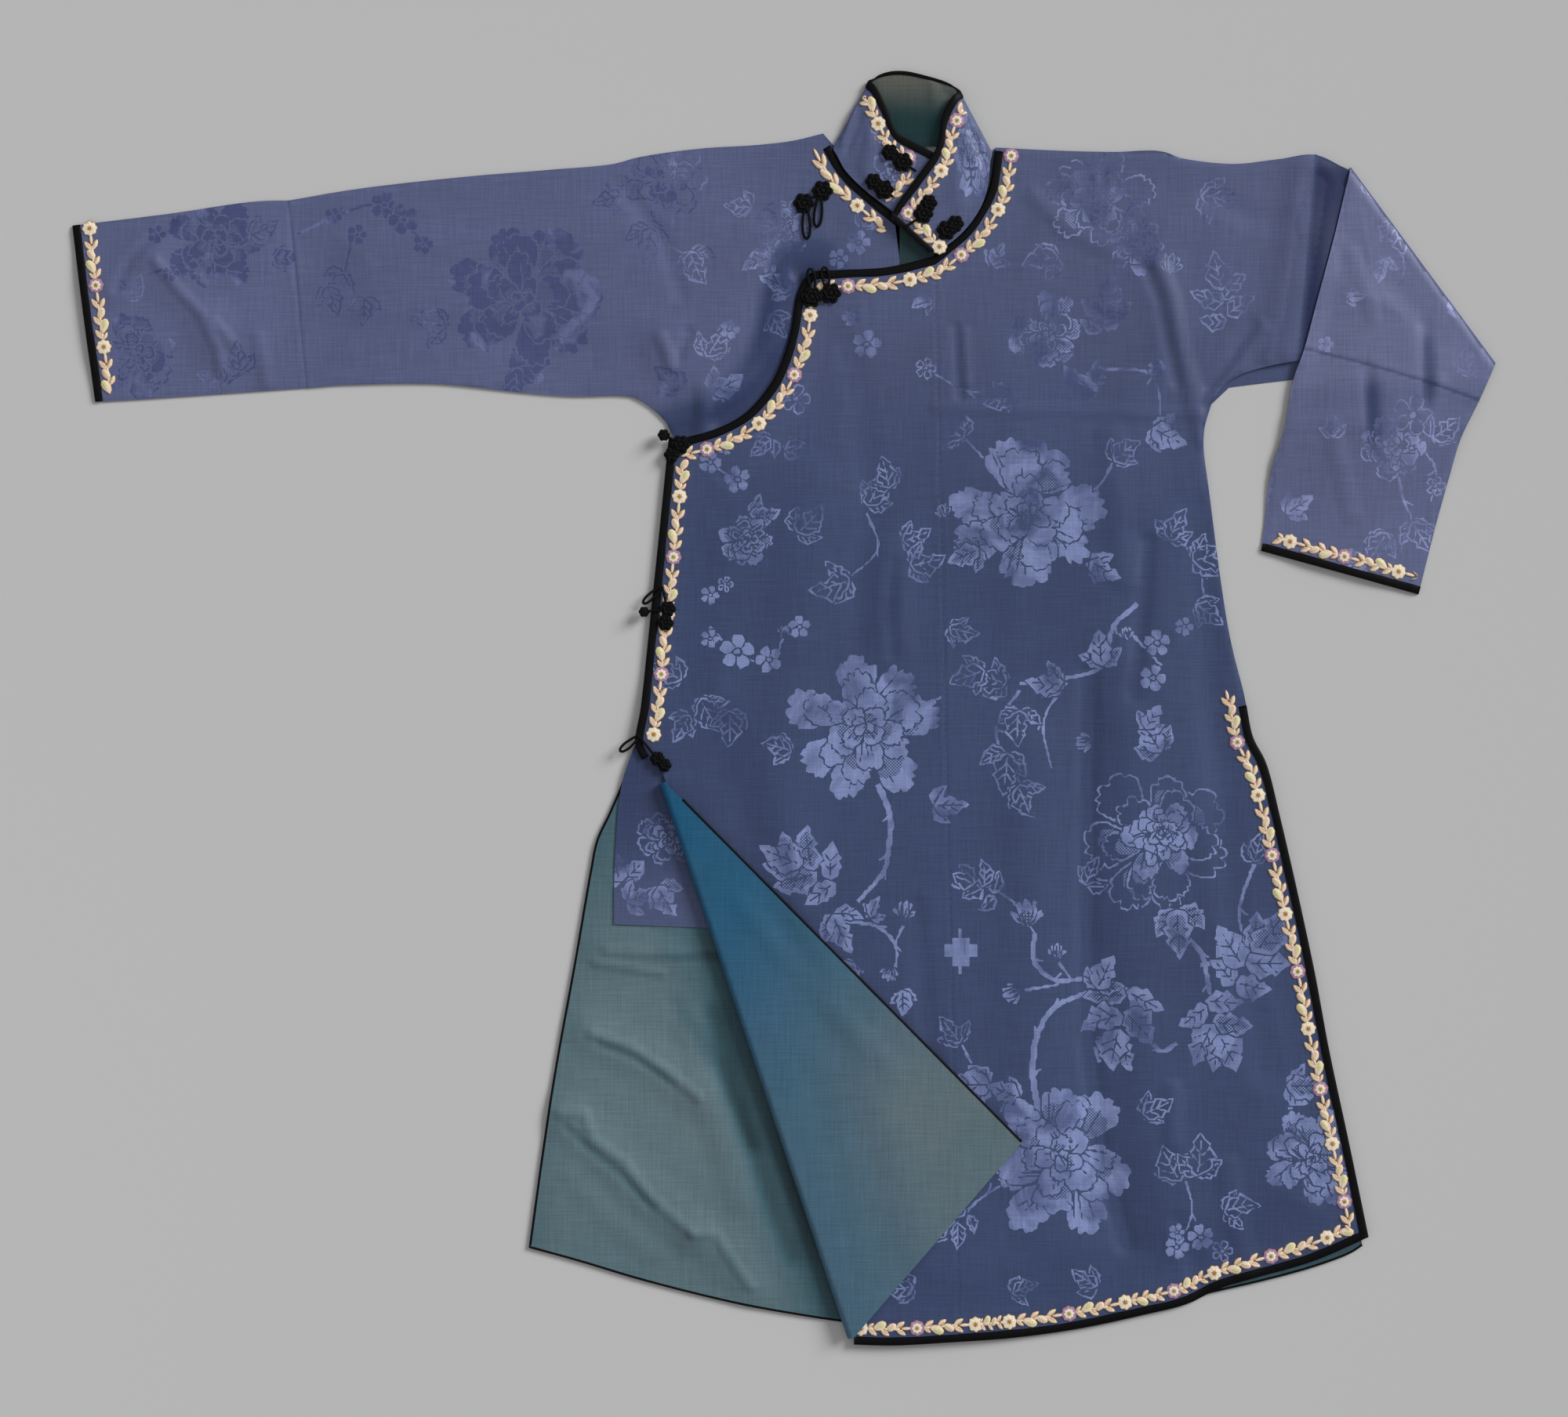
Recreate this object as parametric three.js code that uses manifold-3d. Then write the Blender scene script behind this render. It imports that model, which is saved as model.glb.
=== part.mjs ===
// A silk robe laid flat on its back, front side up, in millimetres.
// +Z is up from the surface it lies on and +Y points to the collar.
// Left and right are the wearer's: the right sleeve lies towards -X.
// The left sleeve is turned over along one crease, and the overlap's lower corner along another.
import * as THREE from "three";
import { mergeVertices } from "three/addons/utils/BufferGeometryUtils.js";
import Module from "manifold-3d";

const wasm = await Module();
wasm.setup();

// Cloth and layers
const CLOTH = 1.2;
const SEAM_GAP = 0.3;
const PLY = CLOTH + SEAM_GAP;
const CELL = 36;
const CUT_DEPTH = 80;

// Sewn-on strips
const BINDING_WIDTH = 7.2;
const BINDING_THICK = 0.9;
const EDGE_WIDTH = 1.5;
const BRAID_HALF = 7;
const BRAID_THICK = 1.1;
const BRAID_REPEAT = 54.5;
const BRAID_INSET = 15.5;
const STRIP_LIFT = 0.5;

// Places that shape the layers
const LINING_TOP_Y = -30;
const CENTRE_NECK = { x: 136, y: 520 };
const CENTRE_HEM = { x: 161, y: -600 };
const CORNER_BASE = 6;
const BEND_HEIGHT = 4;
const BEND_OUTER = BEND_HEIGHT + PLY;
const SLEEVE_BAR = 3;

// Collar
const COLLAR_WIDTH = 66;

const clamp = THREE.MathUtils.clamp;

function table(columns, ...rows) {
  const names = columns.split(" ");
  return rows.map((row) => Object.fromEntries(names.map((name, i) => [name, row[i]])));
}

function smooth(from, to, value) {
  const t = clamp((value - from) / (to - from), 0, 1);
  return t * t * (3 - 2 * t);
}

// Edges of the robe
const SHOULDER_RIGHT = table("x y",
  [36, 528], [9, 521.5], [-24, 517.5], [-78, 514], [-134, 506], [-157, 500], [-217, 494.5],
  [-290, 488.5], [-392, 477], [-454, 466.6]);
const CUFF_SIDE_TOP = table("x y", [-454, 466.6], [-486, 465.5], [-567, 454], [-653, 443.5]);
const CUFF_RIGHT = table("x y", [-653, 443.5], [-646, 388], [-632, 281.5]);
const CUFF_SIDE_BOTTOM = table("x y", [-613, 282.5], [-516, 289], [-437, 294.5]);
const UNDERSLEEVE_RIGHT = table("x y",
  [-437, 294.5], [-406, 297], [-317, 298], [-239, 290], [-194, 286.6], [-140, 286], [-122, 276],
  [-109, 263.5], [-101.5, 249]);
const SIDE_RIGHT = table("x y",
  [-106, 243], [-114.5, 158], [-124, 67], [-131, 1], [-136, -33]);
const BACK_VENT_RIGHT = table("x y",
  [-147, -64], [-160, -95], [-172, -121], [-178, -150], [-192, -231], [-210, -330], [-222, -408],
  [-234, -495]);
const BACK_HEM = table("x y",
  [-187, -508], [-130, -525], [-50, -545], [14, -557], [80, -566], [160, -570], [212, -566],
  [270, -560], [331, -550], [402, -534], [439, -525.5], [485, -513], [520, -500], [531, -493]);
const BACK_VENT_LEFT = table("x y",
  [526, -470], [505, -356], [481, -234], [451, -100], [430, -36], [420, 3]);
const SIDE_LEFT = table("x y",
  [422, 14], [410, 62], [402, 109], [390, 200], [385, 241], [386, 258], [392, 279]);
const UNDERSLEEVE_LEFT = table("x y", [409, 295], [469, 302], [653, 317]);
const FRONT_UNDERSLEEVE_LEFT = table("x y", [400, 293], [416, 305], [471, 319], [645, 322]);
const SHOULDER_LEFT = table("x y",
  [520, 497], [488, 508.5], [451, 504], [412, 500], [366, 505], [346, 511.5], [302, 511],
  [256, 512], [194, 515]);
const NECK_RIGHT = table("x y", [42, 517], [56, 494], [76, 474], [106, 449]);
const NECK_LEFT = table("x y",
  [194, 512], [192, 497.5], [189, 479], [180, 459], [165, 438], [147, 423], [136, 414]);
const OVERLAP_CURVE = table("x y",
  [94, 404.6], [50, 402], [24, 399], [13, 382], [6.5, 345], [-3, 315], [-14, 294.5], [-35, 271],
  [-60.5, 257], [-99, 246]);
const FRONT_HEM = table("x y",
  [60, -583], [100, -584], [155, -581], [212, -577], [270, -569], [331, -556], [369, -546.5],
  [402.5, -531], [485, -507], [536, -485]);
const FRONT_VENT_LEFT = table("x y",
  [529, -451], [518, -398], [500, -314], [485, -234], [455, -100], [442, -50], [430, -26], [424, 3]);
const INNER_FRONT_HIDDEN = table("x y", [106, 380], [60, 100], [20, -204]);
const INNER_FRONT_FOOT = table("x y", [-79, -201], [-156, -198], [-155, -137], [-149, -70], [-138, -36]);

// Creases that the layers are turned over on
const CORNER_CREASE = table("x y", [-119.5, -51.8], [59.8, -581.8]);
const CORNER_TIP = { along: 435.5, reach: 210 };
const CORNER_START = 18;
const CORNER_END = 555;
const CORNER_ZERO = 5;
const SLEEVE_CREASE = table("x y", [520, 497], [653, 317]);

// Turned sleeve, from its crease to its cuff
const FOREARM_INNER = table("x y",
  [516, 479.5], [506, 438.5], [491, 383], [477, 330], [467, 301], [459, 256], [447, 218],
  [441, 168.5], [438, 145]);
const FOREARM_OUTER = table("x y",
  [582.5, 105], [588, 127], [597, 163], [609, 207], [621, 248], [638, 283], [653, 317]);
const FOREARM_SEAM = table("x y", [470, 332], [477, 330], [526, 318], [585, 301], [646, 280]);

// Folds: a soft ridge has a height over 0 and a trough has one under 0, gone at FOLD_REACH widths
const FOLD_REACH = 2;
const SLEEVE_FOLDS = [
  { height: 2.2, width: 16, path: table("x y", [-612, 386], [-598, 414], [-562, 446]) },
  { height: 2.4, width: 18, path: table("x y", [-578, 412], [-534, 364], [-516, 306]) },
  { height: 1.6, width: 18, path: table("x y", [-523, 356], [-506, 335]) },
  { height: 1.6, width: 16, path: table("x y", [-480, 340], [-474, 296]) },
  { height: 2.2, width: 20, path: table("x y", [-113, 340], [-102, 316]) },
  { height: 1.8, width: 18, path: table("x y", [-74, 292], [-74, 258]) },
];
const FRONT_FOLDS = [
  { height: -2.6, width: 24, path: table("x y", [279, 32], [277, -177], [290, -410], [325, -526]) },
  { height: 2.4, width: 28, path: table("x y", [318, 30], [322, -180], [338, -400], [368, -500]) },
  { height: 2.2, width: 26, path: table("x y", [228, -40], [222, -240], [240, -470]) },
  { height: 2.4, width: 20, path: table("x y", [343, 405], [361, 340], [384, 248]) },
  { height: -1.6, width: 18, path: table("x y", [333, 153], [330, 109], [320, 14]) },
  { height: 2.4, width: 20, path: table("x y", [438, 348], [417, 315], [394, 283]) },
  { height: 1.8, width: 22, path: table("x y", [99, 134], [99, 50]) },
  { height: 2.0, width: 26, path: table("x y", [30, 200], [10, 40], [0, -120]) },
];
const SLEEVE_RIDGE = { height: 5.5, width: 20, path: table("x y", [484, 492], [476, 400], [462, 330]) };
const LINING_FOLDS = [
  { height: 2.6, width: 16, path: table("x y", [-162, -223], [-71, -227]) },
  { height: 3.2, width: 17, path: table("x y", [-176, -298], [-107, -333], [-79, -356]) },
  { height: 3.0, width: 17, path: table("x y", [-206, -371], [-176, -395], [-125, -445], [-84, -481]) },
  { height: 2.4, width: 16, path: table("x y", [-84, -481], [-50, -503], [-31, -530]) },
];

function distanceToPath(path, x, y, closed) {
  const last = closed ? path.length : path.length - 1;
  let nearest = Infinity;
  for (let i = 0; i < last; i++) {
    const a = path[i];
    const b = path[(i + 1) % path.length];
    const dx = b.x - a.x;
    const dy = b.y - a.y;
    const t = clamp(((x - a.x) * dx + (y - a.y) * dy) / (dx * dx + dy * dy), 0, 1);
    nearest = Math.min(nearest, Math.hypot(x - a.x - t * dx, y - a.y - t * dy));
  }
  return nearest;
}

function isInside(outline, x, y) {
  let inside = false;
  for (let i = 0, j = outline.length - 1; i < outline.length; j = i++) {
    const a = outline[i];
    const b = outline[j];
    if (a.y > y !== b.y > y && x < ((b.x - a.x) * (y - a.y)) / (b.y - a.y) + a.x) inside = !inside;
  }
  return inside;
}

function depthInside(outline, x, y) {
  return isInside(outline, x, y) ? distanceToPath(outline, x, y, true) : 0;
}

function foldHeight(folds, x, y) {
  let sum = 0;
  for (const fold of folds) {
    const d = distanceToPath(fold.path, x, y, false) / (FOLD_REACH * fold.width);
    if (d < 1) sum += fold.height * (1 - d * d) ** 3;
  }
  return sum;
}

// A path moved sideways, to its left where the offset is over 0
function offsetPath(path, offset) {
  return path.map((point, i) => {
    const before = path[Math.max(i - 1, 0)];
    const after = path[Math.min(i + 1, path.length - 1)];
    const inX = point.x - before.x;
    const inY = point.y - before.y;
    const outX = after.x - point.x;
    const outY = after.y - point.y;
    const inLength = Math.hypot(inX, inY) || 1;
    const outLength = Math.hypot(outX, outY) || 1;
    const normalX = -(inY / inLength + outY / outLength);
    const normalY = inX / inLength + outX / outLength;
    const size = Math.hypot(normalX, normalY);
    const miter = Math.max(size / (i > 0 && i < path.length - 1 ? 2 : 1), 0.5);
    const reach = offset / miter / size;
    return { x: point.x + normalX * reach, y: point.y + normalY * reach };
  });
}

// A curve through points, rounded at each
const CURVE_DIVISIONS = 600;
function curveThrough(points) {
  const line = new THREE.CatmullRomCurve3(points, false, "centripetal");
  line.arcLengthDivisions = CURVE_DIVISIONS;
  return line;
}
const flatCurve = (path) => curveThrough(path.map((p) => new THREE.Vector3(p.x, p.y, 0)));

// A path of even steps, rounded at its points
function evenPath(path, step) {
  const line = flatCurve(path);
  const count = Math.max(2, Math.round(line.getLength() / step));
  return line.getSpacedPoints(count).map((p) => ({ x: p.x, y: p.y }));
}

// Solids
function solidOf(geometry) {
  geometry.deleteAttribute("normal");
  geometry.deleteAttribute("uv");
  const merged = mergeVertices(geometry, 1e-4);
  return new wasm.Manifold(
    new wasm.Mesh({
      numProp: 3,
      vertProperties: new Float32Array(merged.attributes.position.array),
      triVerts: new Uint32Array(merged.index.array),
    }),
  );
}

function prism(outline, low = -CUT_DEPTH / 2, depth = CUT_DEPTH) {
  const shape = new THREE.Shape(outline.map((p) => new THREE.Vector2(p.x, p.y)));
  const geometry = new THREE.ExtrudeGeometry(shape, { depth, bevelEnabled: false });
  geometry.translate(0, 0, low);
  return solidOf(geometry);
}

// A closed solid between two grids of points that share their rows and columns
function between(rows, columns, topAt, bottomAt) {
  const positions = [];
  for (const at of [topAt, bottomAt])
    for (let j = 0; j < rows; j++)
      for (let i = 0; i < columns; i++) positions.push(...at(i, j));
  const index = [];
  const lower = rows * columns;
  for (let j = 0; j < rows - 1; j++)
    for (let i = 0; i < columns - 1; i++) {
      const a = j * columns + i;
      const b = a + 1;
      const c = a + columns + 1;
      const d = a + columns;
      index.push(a, b, c, a, c, d);
      index.push(lower + a, lower + c, lower + b, lower + a, lower + d, lower + c);
    }
  const rim = [];
  for (let i = 0; i < columns - 1; i++) rim.push(i);
  for (let j = 0; j < rows - 1; j++) rim.push(j * columns + columns - 1);
  for (let i = columns - 1; i > 0; i--) rim.push((rows - 1) * columns + i);
  for (let j = rows - 1; j > 0; j--) rim.push(j * columns);
  rim.forEach((a, k) => {
    const b = rim[(k + 1) % rim.length];
    index.push(a, lower + b, b, a, lower + a, lower + b);
  });
  const geometry = new THREE.BufferGeometry();
  geometry.setAttribute("position", new THREE.Float32BufferAttribute(positions, 3));
  geometry.setIndex(index);
  const solid = solidOf(geometry.clone());
  if (solid.volume() > 0) return solid;
  geometry.setIndex(index.reverse());
  return solidOf(geometry);
}

// A wall of cloth cut to an outline, its underside at a height for each place
function clothWall(outline, underside, thick = CLOTH) {
  const xs = outline.map((p) => p.x);
  const ys = outline.map((p) => p.y);
  const firstX = Math.floor(Math.min(...xs) / CELL) - 1;
  const firstY = Math.floor(Math.min(...ys) / CELL) - 1;
  const columns = Math.ceil(Math.max(...xs) / CELL) + 2 - firstX;
  const rows = Math.ceil(Math.max(...ys) / CELL) + 2 - firstY;
  const thickAt = typeof thick === "function" ? thick : () => thick;
  const place = (lift) => (i, j) => {
    const x = (firstX + i) * CELL;
    const y = (firstY + j) * CELL;
    return [x, y, underside(x, y) + (lift ? thickAt(x, y) : 0)];
  };
  return between(rows, columns, place(true), place(false)).intersect(prism(outline));
}

// The height of a wall's faceted surface, as clothWall lays it
function faceted(height) {
  return (x, y) => {
    const i = Math.floor(x / CELL);
    const j = Math.floor(y / CELL);
    const fx = x / CELL - i;
    const fy = y / CELL - j;
    const low = height(i * CELL, j * CELL);
    const far = height((i + 1) * CELL, (j + 1) * CELL);
    if (fx >= fy) {
      const right = height((i + 1) * CELL, j * CELL);
      return low + (right - low) * fx + (far - right) * fy;
    }
    const up = height(i * CELL, (j + 1) * CELL);
    return low + (far - up) * fx + (up - low) * fy;
  };
}

// A strip along a path, laid on a surface: lay(x, y, lift) gives the point
function strip(path, halfWidthAt, lay, thick, lift = STRIP_LIFT) {
  const sides = path.map((point, i) => {
    const before = path[Math.max(i - 1, 0)];
    const after = path[Math.min(i + 1, path.length - 1)];
    const dx = after.x - before.x;
    const dy = after.y - before.y;
    const length = Math.hypot(dx, dy);
    const half = halfWidthAt(i);
    const sideX = (dy / length) * half;
    const sideY = (dx / length) * half;
    return [-1, 1].map((side) => ({ x: point.x - sideX * side, y: point.y + sideY * side }));
  });
  const at = (height) => (i, j) => lay(sides[i][j].x, sides[i][j].y, height);
  return between(2, path.length, at(lift + thick), at(lift));
}

// Outlines of the panels
const seamX = (y) =>
  CENTRE_NECK.x + ((CENTRE_HEM.x - CENTRE_NECK.x) * (CENTRE_NECK.y - y)) / (CENTRE_NECK.y - CENTRE_HEM.y);
const lengthOf = (crease) => Math.hypot(crease[1].x - crease[0].x, crease[1].y - crease[0].y);
const directionOf = (crease) => ({
  x: (crease[1].x - crease[0].x) / lengthOf(crease),
  y: (crease[1].y - crease[0].y) / lengthOf(crease),
});
const creaseInside = (crease, distance) => {
  const run = directionOf(crease);
  return crease.map((p) => ({ x: p.x - run.y * distance, y: p.y + run.x * distance }));
};
const cornerLine = creaseInside(CORNER_CREASE, BEND_OUTER);
const sleeveLine = creaseInside(SLEEVE_CREASE, -(SLEEVE_BAR + SEAM_GAP));

const BACK_OUTLINE = [
  ...table("x y", [190, 508], [150, 509], [90, 510], [50, 512]),
  ...SHOULDER_RIGHT,
  ...UNDERSLEEVE_RIGHT,
  ...SIDE_RIGHT,
  ...BACK_VENT_RIGHT,
  ...BACK_HEM,
  ...BACK_VENT_LEFT,
  ...SIDE_LEFT,
  ...UNDERSLEEVE_LEFT.slice(0, 2),
  sleeveLine[1],
  sleeveLine[0],
  ...SHOULDER_LEFT.slice(1),
];
const INNER_OUTLINE = [
  ...NECK_RIGHT,
  ...INNER_FRONT_HIDDEN,
  ...INNER_FRONT_FOOT,
  ...[...SIDE_RIGHT].reverse(),
  ...[...UNDERSLEEVE_RIGHT].reverse(),
  ...[...SHOULDER_RIGHT].reverse(),
];
const OUTER_OUTLINE = [
  ...[...NECK_LEFT].reverse(),
  ...[...SHOULDER_LEFT].reverse().slice(0, -1),
  sleeveLine[0],
  { x: sleeveLine[1].x - 6, y: 322 },
  ...[...FRONT_UNDERSLEEVE_LEFT].reverse().slice(1),
  ...[...SIDE_LEFT].reverse(),
  ...[...FRONT_VENT_LEFT].reverse(),
  ...[...FRONT_HEM].reverse().slice(0, -1),
  cornerLine[1],
  cornerLine[0],
  { x: CORNER_CREASE[0].x - 7, y: CORNER_CREASE[0].y + 7 },
  ...[...SIDE_RIGHT].reverse(),
  ...[...OVERLAP_CURVE].reverse(),
];

// Heights of the undersides, layer by layer
const skirt = (y) => smooth(LINING_TOP_Y + 2 * CELL, LINING_TOP_Y + CELL / 2, y);
const creaseLength = lengthOf(CORNER_CREASE);
const along = directionOf(CORNER_CREASE);
const across = { x: -along.y, y: along.x };
const pastCorner = (x, y) => (x - CORNER_CREASE[0].x) * across.x + (y - CORNER_CREASE[0].y) * across.y;
const liningUnder = (x, y) => PLY + foldHeight(LINING_FOLDS, x, y) * smooth(-8, -45, pastCorner(x, y));

function innerUnder(x, y) {
  const depth = depthInside(INNER_OUTLINE, x, y);
  const puff = 2.4 * smooth(24, 80, depth) * smooth(60, -60, x) * smooth(150, 250, y);
  const folds = foldHeight(SLEEVE_FOLDS, x, y) * smooth(0, 30, depth);
  const own = PLY + PLY * skirt(y) + puff + folds;
  return y > LINING_TOP_Y ? own : Math.max(own, liningUnder(x, y) + PLY);
}

function outerUnder(x, y) {
  const depth = depthInside(OUTER_OUTLINE, x, y);
  const corner = smooth(260, 150, x) * skirt(y);
  const sleeve = smooth(395, 440, x) * smooth(250, 290, y);
  const base = 2 * PLY + (CORNER_BASE - 2 * PLY) * corner - PLY * sleeve;
  const inner = depth > 0 ? smooth(25, 75, depth) : 0;
  const nearCorner = smooth(50, 100, distanceToPath(CORNER_CREASE, x, y, false));
  const puff = 3 * inner * nearCorner;
  const folds = (foldHeight(FRONT_FOLDS, x, y) * inner + foldHeight([SLEEVE_RIDGE], x, y)) * nearCorner;
  const over = x < 106 + CELL ? innerUnder(x, y) + PLY : 0;
  return Math.max(base + puff + folds, over, base);
}

const innerTop = faceted((x, y) => innerUnder(x, y) + CLOTH);
const outerTop = faceted((x, y) => outerUnder(x, y) + CLOTH);
const onInner = (x, y, lift) => [x, y, innerTop(x, y) + lift];
const onOuter = (x, y, lift) => [x, y, outerTop(x, y) + lift];

// Back and fronts
const side = (towardsLeft) => {
  const reach = 900 * (towardsLeft ? 1 : -1);
  const gap = (SEAM_GAP / 2) * (towardsLeft ? 1 : -1);
  const line = [CENTRE_NECK.y + 100, CENTRE_HEM.y - 100].map((y) => ({ x: seamX(y) + gap, y }));
  return prism([...line, { x: line[1].x + reach, y: line[1].y }, { x: line[0].x + reach, y: line[0].y }]);
};
const back = prism(BACK_OUTLINE, 0, CLOTH);
const outerFront = clothWall(OUTER_OUTLINE, outerUnder);

const solids = [];
function add(name, solid, finish) {
  solids.push({ name, solid, finish });
}

const SILK = { color: 0x4d587f, roughness: 0.45, metalness: 0 };
const SLEEVE_SILK = { color: 0x5c618a, roughness: 0.45, metalness: 0 };
const LINING = { color: 0x4f6c72, roughness: 0.6, metalness: 0 };
const CORNER_LINING = { color: 0x2a6580, roughness: 0.55, metalness: 0 };
const SATIN = { color: 0x0c0c0e, roughness: 0.5, metalness: 0 };
const BRAID = { color: 0xe6cfa2, roughness: 0.7, metalness: 0 };
const CORD = { color: 0x08080a, roughness: 0.7, metalness: 0 };

add("back_right", back.intersect(side(false)), SILK);
add("back_left", back.intersect(side(true)), SILK);

const LINING_OUTLINE = [
  ...offsetPath(
    [{ x: -137, y: -33 }, ...BACK_VENT_RIGHT, ...BACK_HEM, ...BACK_VENT_LEFT.slice(0, 4)],
    EDGE_WIDTH + SEAM_GAP),
  { x: 425, y: LINING_TOP_Y },
].filter((p) => p.y <= LINING_TOP_Y);
add("back_lining", clothWall(LINING_OUTLINE, liningUnder), LINING);
add("inner_front", clothWall(INNER_OUTLINE, innerUnder), SLEEVE_SILK);
add("outer_front_left", outerFront.intersect(side(true)), SILK);

// The overlap's corner, turned over on its crease
const bendAxisZ = CORNER_BASE + BEND_HEIGHT;
const cornerPoint = (t, n, z) => [
  CORNER_CREASE[0].x + along.x * t + across.x * n,
  CORNER_CREASE[0].y + along.y * t + across.y * n,
  z,
];
const cornerReach = (t) =>
  t < CORNER_TIP.along
    ? (CORNER_TIP.reach * (t - CORNER_ZERO)) / (CORNER_TIP.along - CORNER_ZERO)
    : (CORNER_TIP.reach * (creaseLength - t)) / (creaseLength - CORNER_TIP.along);
const cornerStations = [CORNER_START, 50, 100, 155, 210, 265, 320, 375, CORNER_TIP.along, 495, CORNER_END];
const bendAngles = [0, 45, 90, 135, 180];
const turnedRows = 5;

const edgeWidthAt = (t) => (t > CORNER_TIP.along ? 2 * EDGE_WIDTH : EDGE_WIDTH);

function turnedCloth(innerRadius, outerRadius, turnedLift, tuck) {
  const rows = 1 + bendAngles.length + turnedRows;
  const at = (radius, lift) => (i, j) => {
    const t = cornerStations[i];
    if (j === 0) return cornerPoint(t, BEND_OUTER + tuck, bendAxisZ - radius);
    if (j <= bendAngles.length) {
      const angle = THREE.MathUtils.degToRad(bendAngles[j - 1]);
      return cornerPoint(t, BEND_OUTER - radius * Math.sin(angle), bendAxisZ - radius * Math.cos(angle));
    }
    const share = (j - bendAngles.length) / turnedRows;
    const reach = Math.max(cornerReach(t) - edgeWidthAt(t) - SEAM_GAP, BEND_OUTER + 0.8);
    const n = BEND_OUTER + (reach - BEND_OUTER) * share;
    const [x, y] = cornerPoint(t, n, 0);
    const sink = 4.5 * (1 - smooth(0, 130, n - BEND_OUTER));
    return [x, y, outerTop(x, y) + 1.1 + sink + lift];
  };
  const outer = at(outerRadius, turnedLift + CLOTH);
  return between(rows, cornerStations.length, at(innerRadius, turnedLift), outer);
}
const silkInner = BEND_HEIGHT - CLOTH;
const turnedSilk = turnedCloth(silkInner, BEND_HEIGHT, 0, 4);
add("outer_front_overlap", outerFront.intersect(side(false)).add(turnedSilk), SILK);
add("corner_lining",
  turnedCloth(BEND_HEIGHT + SEAM_GAP, BEND_OUTER, PLY, 12), CORNER_LINING);

// A flattened sleeve, open at both ends, with a hollow that narrows to its folded edges
function flatSleeve(outline, hollowOutline, underside, puffAt) {
  const gapAt = (x, y) => SEAM_GAP + puffAt(x, y);
  const outer = clothWall(outline, underside, (x, y) => 2 * CLOTH + gapAt(x, y));
  return outer.subtract(clothWall(hollowOutline, (x, y) => underside(x, y) + CLOTH, gapAt));
}

// Right sleeve extension, from its seam to its cuff
const rightExtension = [
  { x: CUFF_SIDE_TOP[0].x - SEAM_GAP, y: CUFF_SIDE_TOP[0].y },
  ...CUFF_SIDE_TOP.slice(1),
  ...CUFF_RIGHT.slice(1),
  ...CUFF_SIDE_BOTTOM.slice(0, 2),
  { x: CUFF_SIDE_BOTTOM[2].x - SEAM_GAP, y: CUFF_SIDE_BOTTOM[2].y },
];
const FOLD_WALL = 2;
const rightHollow = table("x y",
  [-440, 464.6 - FOLD_WALL], [-486, 465.5 - FOLD_WALL], [-567, 454 - FOLD_WALL], [-670, 441 - FOLD_WALL],
  [-650, 282 + FOLD_WALL], [-613, 282.5 + FOLD_WALL], [-516, 289 + FOLD_WALL], [-420, 295.5 + FOLD_WALL]);
const rightPuff = (x, y) => {
  const depth = Math.min(
    distanceToPath(CUFF_SIDE_TOP, x, y, false),
    distanceToPath(CUFF_SIDE_BOTTOM, x, y, false),
  );
  const within = isInside(rightExtension, x, y) ? 1 : 0;
  return within * (2.4 * smooth(10, 60, depth) + foldHeight(SLEEVE_FOLDS, x, y) * smooth(0, 30, depth));
};
add("right_sleeve_extension", flatSleeve(rightExtension, rightHollow, () => 0, rightPuff), SLEEVE_SILK);
const rightCuffTop = faceted((x, y) => 2 * CLOTH + SEAM_GAP + rightPuff(x, y));
const onRightCuff = (x, y, lift) => [x, y, rightCuffTop(x, y) + lift];

// Left sleeve past its crease: it lies on the sleeve and comes down to the surface beyond it
const SLEEVE_DROP = { from: 255, to: 175 };
const DOUBLE = 2 * CLOTH + SEAM_GAP;
const sleeveCreaseLength = lengthOf(SLEEVE_CREASE);
const sleeveAlong = directionOf(SLEEVE_CREASE);
const sleeveAcross = { x: sleeveAlong.y, y: -sleeveAlong.x };
const FOREARM_OUTLINE = [...FOREARM_INNER, ...FOREARM_OUTER, SLEEVE_CREASE[0]];
function forearmUnder(x, y) {
  const raised = smooth(SLEEVE_DROP.to, SLEEVE_DROP.from, y);
  const above = 2 * PLY + 0.4;
  const clear = y > SLEEVE_DROP.from ? outerUnder(x, y) + PLY : 0;
  return Math.max(above * raised, clear);
}
const forearmPuff = (x, y) => {
  const depth = Math.min(
    distanceToPath(FOREARM_INNER, x, y, false),
    distanceToPath([...FOREARM_OUTER, SLEEVE_CREASE[0]], x, y, false),
  );
  return isInside(FOREARM_OUTLINE, x, y) ? 2.2 * smooth(10, 55, depth) : 0;
};
const forearmTop = faceted((x, y) => forearmUnder(x, y) + DOUBLE + forearmPuff(x, y));
const onForearm = (x, y, lift) => [x, y, forearmTop(x, y) + lift];
const seamBelow = (gap) => FOREARM_SEAM.map((p) => ({ x: p.x, y: p.y + gap }));
const TURNED_OUTLINE = [
  ...FOREARM_INNER.slice(0, 3),
  ...seamBelow(SEAM_GAP).slice(1),
  { x: 652, y: 314.5 },
  { x: SLEEVE_CREASE[0].x + 0.5, y: SLEEVE_CREASE[0].y - 2.5 },
];

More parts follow.
